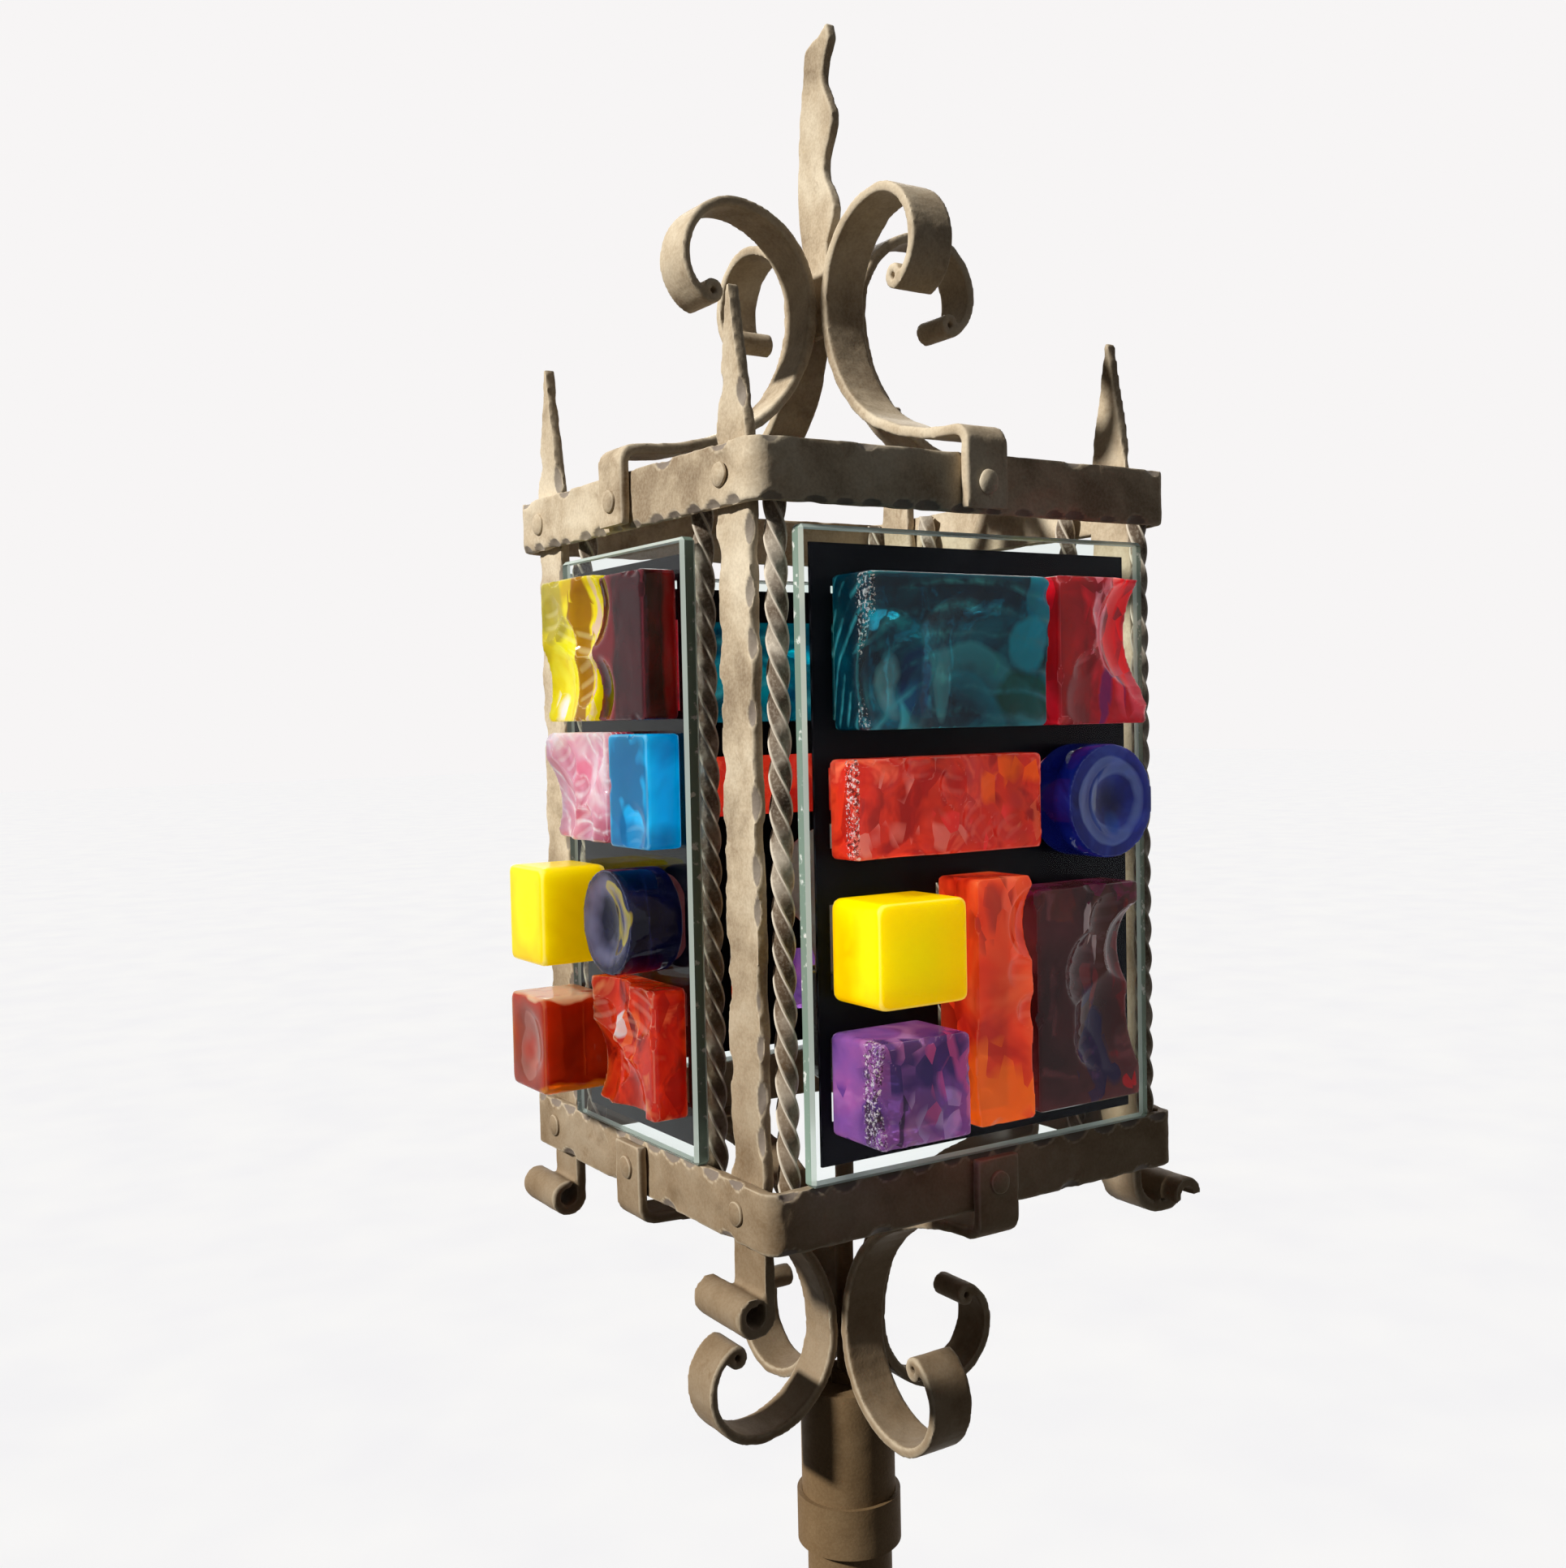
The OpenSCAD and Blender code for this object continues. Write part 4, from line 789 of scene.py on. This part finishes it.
# A rivet's rim is lightened like the other iron arrises: partly worn, partly a painted highlight.
RIM_SHARE = 0.93            # the ring of the head, as a share of its radius, that is worn bright
RIVET_PROFILE = [(1.0, 0.0), (1.0, 0.55), (RIM_SHARE, 1.1), (0.76, 1.65), (0.5, 2.1), (0.22, 2.35)]


def solids_of(node):
    """The vertex positions of each solid of a CAD node, in millimetres."""
    bm = welded(frame["nodes"][node].data)
    left, found = set(bm.verts), []
    while left:
        todo, island = [left.pop()], []
        while todo:
            vert = todo.pop()
            island.append(vert.co / MM)
            for edge in vert.link_edges:
                other = edge.other_vert(vert)
                if other in left:
                    left.remove(other)
                    todo.append(other)
        found.append(np.array(island))
    bm.free()
    return sorted(found, key=lambda island: tuple(np.round(island.mean(axis=0), 1)))


def rivet_head(bm, layer, island, lean, phase):
    """A low head, a little out of round and leaning, on the seat of a CAD rivet."""
    middle = (island.min(axis=0) + island.max(axis=0)) / 2
    axis = np.linalg.eigh(np.cov((island - middle).T))[1][:, 0]
    axis = axis if axis @ (middle * (1, 1, 0)) > 0 else -axis
    foot = middle + axis * ((island - middle) @ axis).min()
    across = np.cross(axis, (0, 0, 1))
    across /= np.linalg.norm(across)
    up = np.cross(across, axis)
    rings = []
    for share, height in RIVET_PROFILE:
        ring = []
        for k in range(RIVET_SEGMENTS):
            a = 2 * math.pi * k / RIVET_SEGMENTS
            uneven = 1 - 0.035 * (1 + math.sin(2 * a + phase)) - 0.02 * math.sin(5 * a - phase)
            r = RIVET_D / 2 * share * uneven
            rise = height * (1 + lean * math.cos(a))
            point = foot + across * (r * math.cos(a)) + up * (r * math.sin(a)) + axis * rise
            vert = bm.verts.new(point * MM)
            vert[layer] = float(share == RIM_SHARE)
            ring.append(vert)
        rings.append(ring)
    skin(bm, rings)


def rivets(node, seed):
    """A hammered head in place of each of a node's rivets."""
    bm = bmesh.new()
    layer = bm.verts.layers.float.new("edge")
    draw = random.Random(seed)
    for island in solids_of(node):
        rivet_head(bm, layer, island, draw.uniform(-0.08, 0.08), draw.uniform(0, 6.28))
    bmesh.ops.recalc_face_normals(bm, faces=bm.faces)
    add_piece(node + "_heads", finished(bm, "rivets"), node, [IRON], 60)


rivets("band_rivets", 3)
rivets("leg_rivets", 4)


# ---------------------------------------------------------------- panes
PANE_ARRIS_W = 1.7


def pane(node):
    """A clear plate with wide ground arrises; its edges look greener than its faces."""
    low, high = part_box(node)
    bm = bmesh.new()
    bmesh.ops.create_cube(bm, size=1.0)
    for vert in bm.verts:
        vert.co = Vector([low[k] if vert.co[k] < 0 else high[k] for k in range(3)])
    thin = 0 if high[0] - low[0] < high[1] - low[1] else 1
    bmesh.ops.bevel(bm, geom=bm.edges[:], offset=PANE_ARRIS_W * MM, segments=1, affect="EDGES")
    bm.normal_update()
    for face in bm.faces:
        facing = abs(face.normal[thin])
        face.material_index = 0 if facing > 0.95 else (2 if facing < 0.05 else 1)
    add_piece(node + "_plate", finished(bm, "pane"), node, [PANE, PANE_ARRIS, PANE_EDGE])


for node in ("pane_front", "pane_left", "pane_back", "pane_right"):
    pane(node)


# ---------------------------------------------------------------- coloured glass
# Scoops broken out of each piece's front: the place across and up as shares of the piece, the scoop's
# radius and its depth in millimetres. Then the number of small flakes off its front arrises.
SCOOPS = {
    "teal_slabs": ([
        (0.16, 0.34, 26, 4.5), (0.30, 0.12, 34, 4.5), (0.46, 0.30, 30, 3.5), (0.72, 0.55, 60, 3.0),
        (0.86, 0.30, 34, 4.0), (0.62, 0.06, 30, 4.0)], 10),
    "crimson_blocks": ([
        (0.40, 0.30, 26, 3.0), (0.60, 0.75, 24, 4.0), (0.95, 0.30, 18, 5.0), (0.84, 0.95, 22, 4.0),
        (0.50, 0.50, 18, 2.0)], 12),
    "coral_slabs": ([
        (0.12, 0.30, 20, 2.5), (0.24, 0.62, 17, 3.0), (0.40, 0.30, 22, 3.0), (0.52, 0.72, 18, 2.5),
        (0.64, 0.36, 20, 3.0), (0.80, 0.30, 24, 3.0), (0.90, 0.70, 16, 3.0), (0.34, 0.90, 14, 3.0)], 18),
    "blue_rounds": ([(0.50, 0.50, 58, 3.6)], 0),
    "yellow_cubes": ([], 0),
    "amethyst_cubes": ([
        (0.05, 0.30, 14, 2.0), (0.04, 0.70, 12, 2.0), (0.80, 0.20, 30, 1.4)], 14),
    "orange_bars": ([
        (0.75, 0.62, 20, 2.0), (0.20, 0.30, 60, 1.5), (0.95, 0.45, 14, 3.0)], 6),
    "plum_slabs": ([
        (0.62, 0.62, 36, 7.0), (0.76, 0.42, 30, 6.0), (0.60, 0.30, 24, 7.0), (0.70, 0.84, 26, 4.0),
        (0.86, 0.66, 22, 4.0)], 6),
    "amber_slabs": ([
        (0.30, 0.24, 20, 6.0), (0.46, 0.52, 24, 5.0), (0.90, 0.62, 18, 6.0), (0.88, 0.28, 17, 6.0),
        (0.20, 0.72, 40, 2.0)], 14),
    "dark_red_slabs": ([(0.10, 0.70, 22, 3.0), (0.10, 0.30, 20, 3.0)], 8),
    "pink_slabs": ([
        (0.30, 0.70, 24, 5.0), (0.20, 0.30, 22, 5.0), (0.52, 0.50, 22, 5.0), (0.76, 0.84, 20, 6.0),
        (0.60, 0.15, 18, 5.0)], 22),
    "cyan_slabs": ([(0.50, 0.20, 60, 1.2)], 2),
    "lemon_cubes": ([], 0),
    "navy_rounds": ([(0.50, 0.50, 40, 4.6)], 0),
    "burnt_orange_cubes": ([(0.50, 0.50, 62, 1.8)], 0),
    "flame_red_blocks": ([
        (0.20, 0.70, 17, 6.0), (0.34, 0.30, 18, 7.0), (0.55, 0.62, 16, 6.0), (0.62, 0.20, 16, 6.0),
        (0.80, 0.80, 18, 5.0), (0.12, 0.20, 14, 5.0), (0.44, 0.92, 14, 5.0)], 26),
}
# How many times a piece is rounded after it is meshed; the others once. ROUGH pieces have a frosted arris.
ROUNDED = {"yellow_cubes": 9, "lemon_cubes": 9, "burnt_orange_cubes": 10, "blue_rounds": 3, "navy_rounds": 4}
ROUGH = ("coral_slabs", "amethyst_cubes", "teal_slabs")
GLASS_VOXEL, RIPPLE, FROST_W = 1.1, 0.14, 3.0
FLAKE_RADIUS, FLAKE_DEPTH = (4, 10), (0.8, 2.2)


class Facing:
    """One solid of a glass node: its vertices and its directions across, up and outward."""

    def __init__(self, clay, axis, side):
        self.mask = clay.co[:, axis] * side > 0
        self.out = np.eye(3)[axis] * side
        self.across = np.array((-side, 0, 0)) if axis == 1 else np.array((0, side, 0))
        self.frame = np.array([self.across, (0, 0, 1), self.out])
        local = clay.co[self.mask] @ self.frame.T
        self.low, self.high = local.min(axis=0), local.max(axis=0)

    def at(self, u, v):
        """A place on the front, from its shares across and up."""
        return (self.low + (self.high - self.low) * np.array((u, v, 1.0))) @ self.frame

    def shares(self, clay):
        return (clay.co[self.mask] @ self.frame.T - self.low) / (self.high - self.low)


def flake_place(draw):
    """A place, as shares across and up, on one of the four front arrises."""
    u, v = draw.random(), draw.random()
    if draw.random() < 0.5:
        return float(round(u)), v
    return u, float(round(v))


def broken(clay, facing, scoops, flakes, draw):
    """Breaks the scoops and the flakes off one piece. Pieces without flakes are cast: their scoops are
    straight and smooth."""
    inward = -facing.out
    ripple = RIPPLE if flakes else 0
    for u, v, radius, depth in scoops:
        lean = facing.across * draw.uniform(-0.1, 0.1) + np.array((0, 0, draw.uniform(-0.1, 0.1)))
        blow = facing.at(1.25 * (u - 0.5) + 0.5 + draw.uniform(-0.2, 0.2), v + math.copysign(0.5, v - 0.5))
        clay.carve(facing.at(u, v), inward + lean * (flakes > 0), radius, depth, ripple, blow, facing.mask)
    for _ in range(flakes):
        u, v = flake_place(draw)
        tilt = facing.across * (0.5 - u) * 0.9 + np.array((0, 0, (0.5 - v) * 0.9))
        radius, depth = draw.uniform(*FLAKE_RADIUS), draw.uniform(*FLAKE_DEPTH)
        clay.carve(facing.at(u, v), inward + tilt, radius, depth, among=facing.mask)


def knapped(node, seed):
    """A glass piece with shell-shaped scoops, faint rings in them, and flakes off its front arrises."""
    clay = Clay(remeshed(node, GLASS_VOXEL))
    low, high = box_mm(node)
    axis = 1 if high[1] - low[1] > high[0] - low[0] else 0
    clay.relax(ROUNDED.get(node, 1))
    spot = np.zeros((len(clay.co), 3), "f")
    frost = np.zeros(len(clay.co), "f")
    scoops, flakes = SCOOPS[node]
    for side in (-1, 1):
        facing = Facing(clay, axis, side)
        broken(clay, facing, scoops, flakes, random.Random(seed))
        spot[facing.mask] = facing.shares(clay)
        if node in ROUGH:
            front = np.clip((spot[:, 2] - 0.4) / 0.3, 0, 1) * facing.mask
            width = FROST_W / (facing.high[0] - facing.low[0])
            frost = np.maximum(frost, front * np.clip(2 - spot[:, 0] / width, 0, 1))
    # The arris weight, which the glass paints pale as a highlight.
    clay.attribute("edge", clay.edge_weight(0))
    clay.attribute("ring", clay.ring)
    clay.attribute("spot", spot)
    clay.attribute("frost", frost)
    clay.save()
    add_piece(node + "_glass", clay.mesh, node, [GLASS[node]], 28 if scoops and flakes else 40)


for seed, node in enumerate(GLASS):
    knapped(node, 61 + seed)


# ---------------------------------------------------------------- the other CAD pieces
def dress(node, material, bevel=0.0):
    """Gives a CAD node its material and, where asked, softened arrises of that many millimetres."""
    piece = frame["nodes"][node]
    piece.data.materials.clear()
    piece.data.materials.append(material)
    if bevel:
        mod = piece.modifiers.new("bevel", "BEVEL")
        mod.width = bevel * MM
        mod.segments = 2
        mod.limit_method = "ANGLE"
        mod.angle_limit = math.radians(35)


for node in ("pole", "stem_tube", "stem_nuts"):
    dress(node, IRON_PLAIN)
for node in ("pole_head", "collar_ring", "hub"):
    dress(node, IRON_PLAIN, bevel=0.6)
for node in ("wide_backings", "side_backings"):
    dress(node, BACKING)
for node in ("lampholder_cap", "lampholder_shell", "switch_key"):
    dress(node, PHENOLIC)
dress("cord_bushing", RUBBER)
dress("lampholder_core", PORCELAIN)
dress("bulb_cap", CAP_METAL)
dress("bulb_glass", FROSTED)


# ---------------------------------------------------------------- stage and light
FLOOR_HALF, FLOOR_Z = 40.0, -0.0005
WALL = srgb(247, 245, 245)
SKY, SKY_STRENGTH = (0.97, 0.98, 1.0, 1.0), 0.045


def seen_directly(tree):
    """1 for rays that show the background, 0 for those that only carry light."""
    path = tree.nodes.new("ShaderNodeLightPath")
    seen = path.outputs["Is Camera Ray"]
    for name in ("Is Glossy Ray", "Is Transmission Ray"):
        most = tree.nodes.new("ShaderNodeMath")
        most.operation = "MAXIMUM"
        tree.links.new(seen, most.inputs[0])
        tree.links.new(path.outputs[name], most.inputs[1])
        seen = most.outputs[0]
    return seen


def make_stage():
    """A pale floor, darker to the light that it sends back up to the lamp."""
    bm = bmesh.new()
    bmesh.ops.create_grid(bm, x_segments=1, y_segments=1, size=FLOOR_HALF)
    floor = bpy.data.objects.new("floor", finished(bm, "floor"))
    floor.location.z = FLOOR_Z
    bpy.context.scene.collection.objects.link(floor)
    s = Shader("floor", Roughness=0.9, Specular_IOR_Level=0.0)
    cloud = s.noise(3, 2)
    pale = s.ramp(cloud, (0.3, srgb(244, 246, 253)), (0.7, srgb(248, 250, 255)))
    dim = s.ramp(cloud, (0.3, srgb(64, 62, 60)), (0.7, srgb(68, 66, 64)))
    floor.data.materials.append(s.done(s.mix(seen_directly(s.tree), dim, pale)))


def make_world():
    """A white wall to the eye, and only a little light from the sky."""
    world = bpy.data.worlds.new("world")
    bpy.context.scene.world = world
    world.use_nodes = True
    tree = world.node_tree
    tree.nodes.clear()
    out = tree.nodes.new("ShaderNodeOutputWorld")
    shade = tree.nodes.new("ShaderNodeBackground")
    white = tree.nodes.new("ShaderNodeBackground")
    choose = tree.nodes.new("ShaderNodeMixShader")
    shade.inputs["Color"].default_value = SKY
    shade.inputs["Strength"].default_value = SKY_STRENGTH
    white.inputs["Color"].default_value = WALL
    white.inputs["Strength"].default_value = 1.0
    tree.links.new(seen_directly(tree), choose.inputs["Fac"])
    tree.links.new(shade.outputs[0], choose.inputs[1])
    tree.links.new(white.outputs[0], choose.inputs[2])
    tree.links.new(choose.outputs[0], out.inputs["Surface"])


def make_sun(name, along, strength, angle, colour):
    """A distant soft lamp; along is the direction of its light, angle its width in degrees."""
    data = bpy.data.lights.new(name, "SUN")
    data.energy = strength
    data.angle = math.radians(angle)
    data.color = colour
    lamp = bpy.data.objects.new(name, data)
    lamp.rotation_euler = Vector(along).to_track_quat("-Z", "Y").to_euler()
    bpy.context.scene.collection.objects.link(lamp)


make_stage()
make_world()
make_sun("key", along=(0.83, -0.06, -0.54), strength=4.7, angle=4, colour=(1.0, 0.97, 0.91))
make_sun("fill", along=(-0.30, 0.85, -0.40), strength=0.11, angle=40, colour=(0.95, 0.97, 1.0))
make_sun("back", along=(-0.55, -0.75, -0.45), strength=0.9, angle=30, colour=(1.0, 0.98, 0.96))
bpy.context.scene.view_settings.view_transform = "Standard"
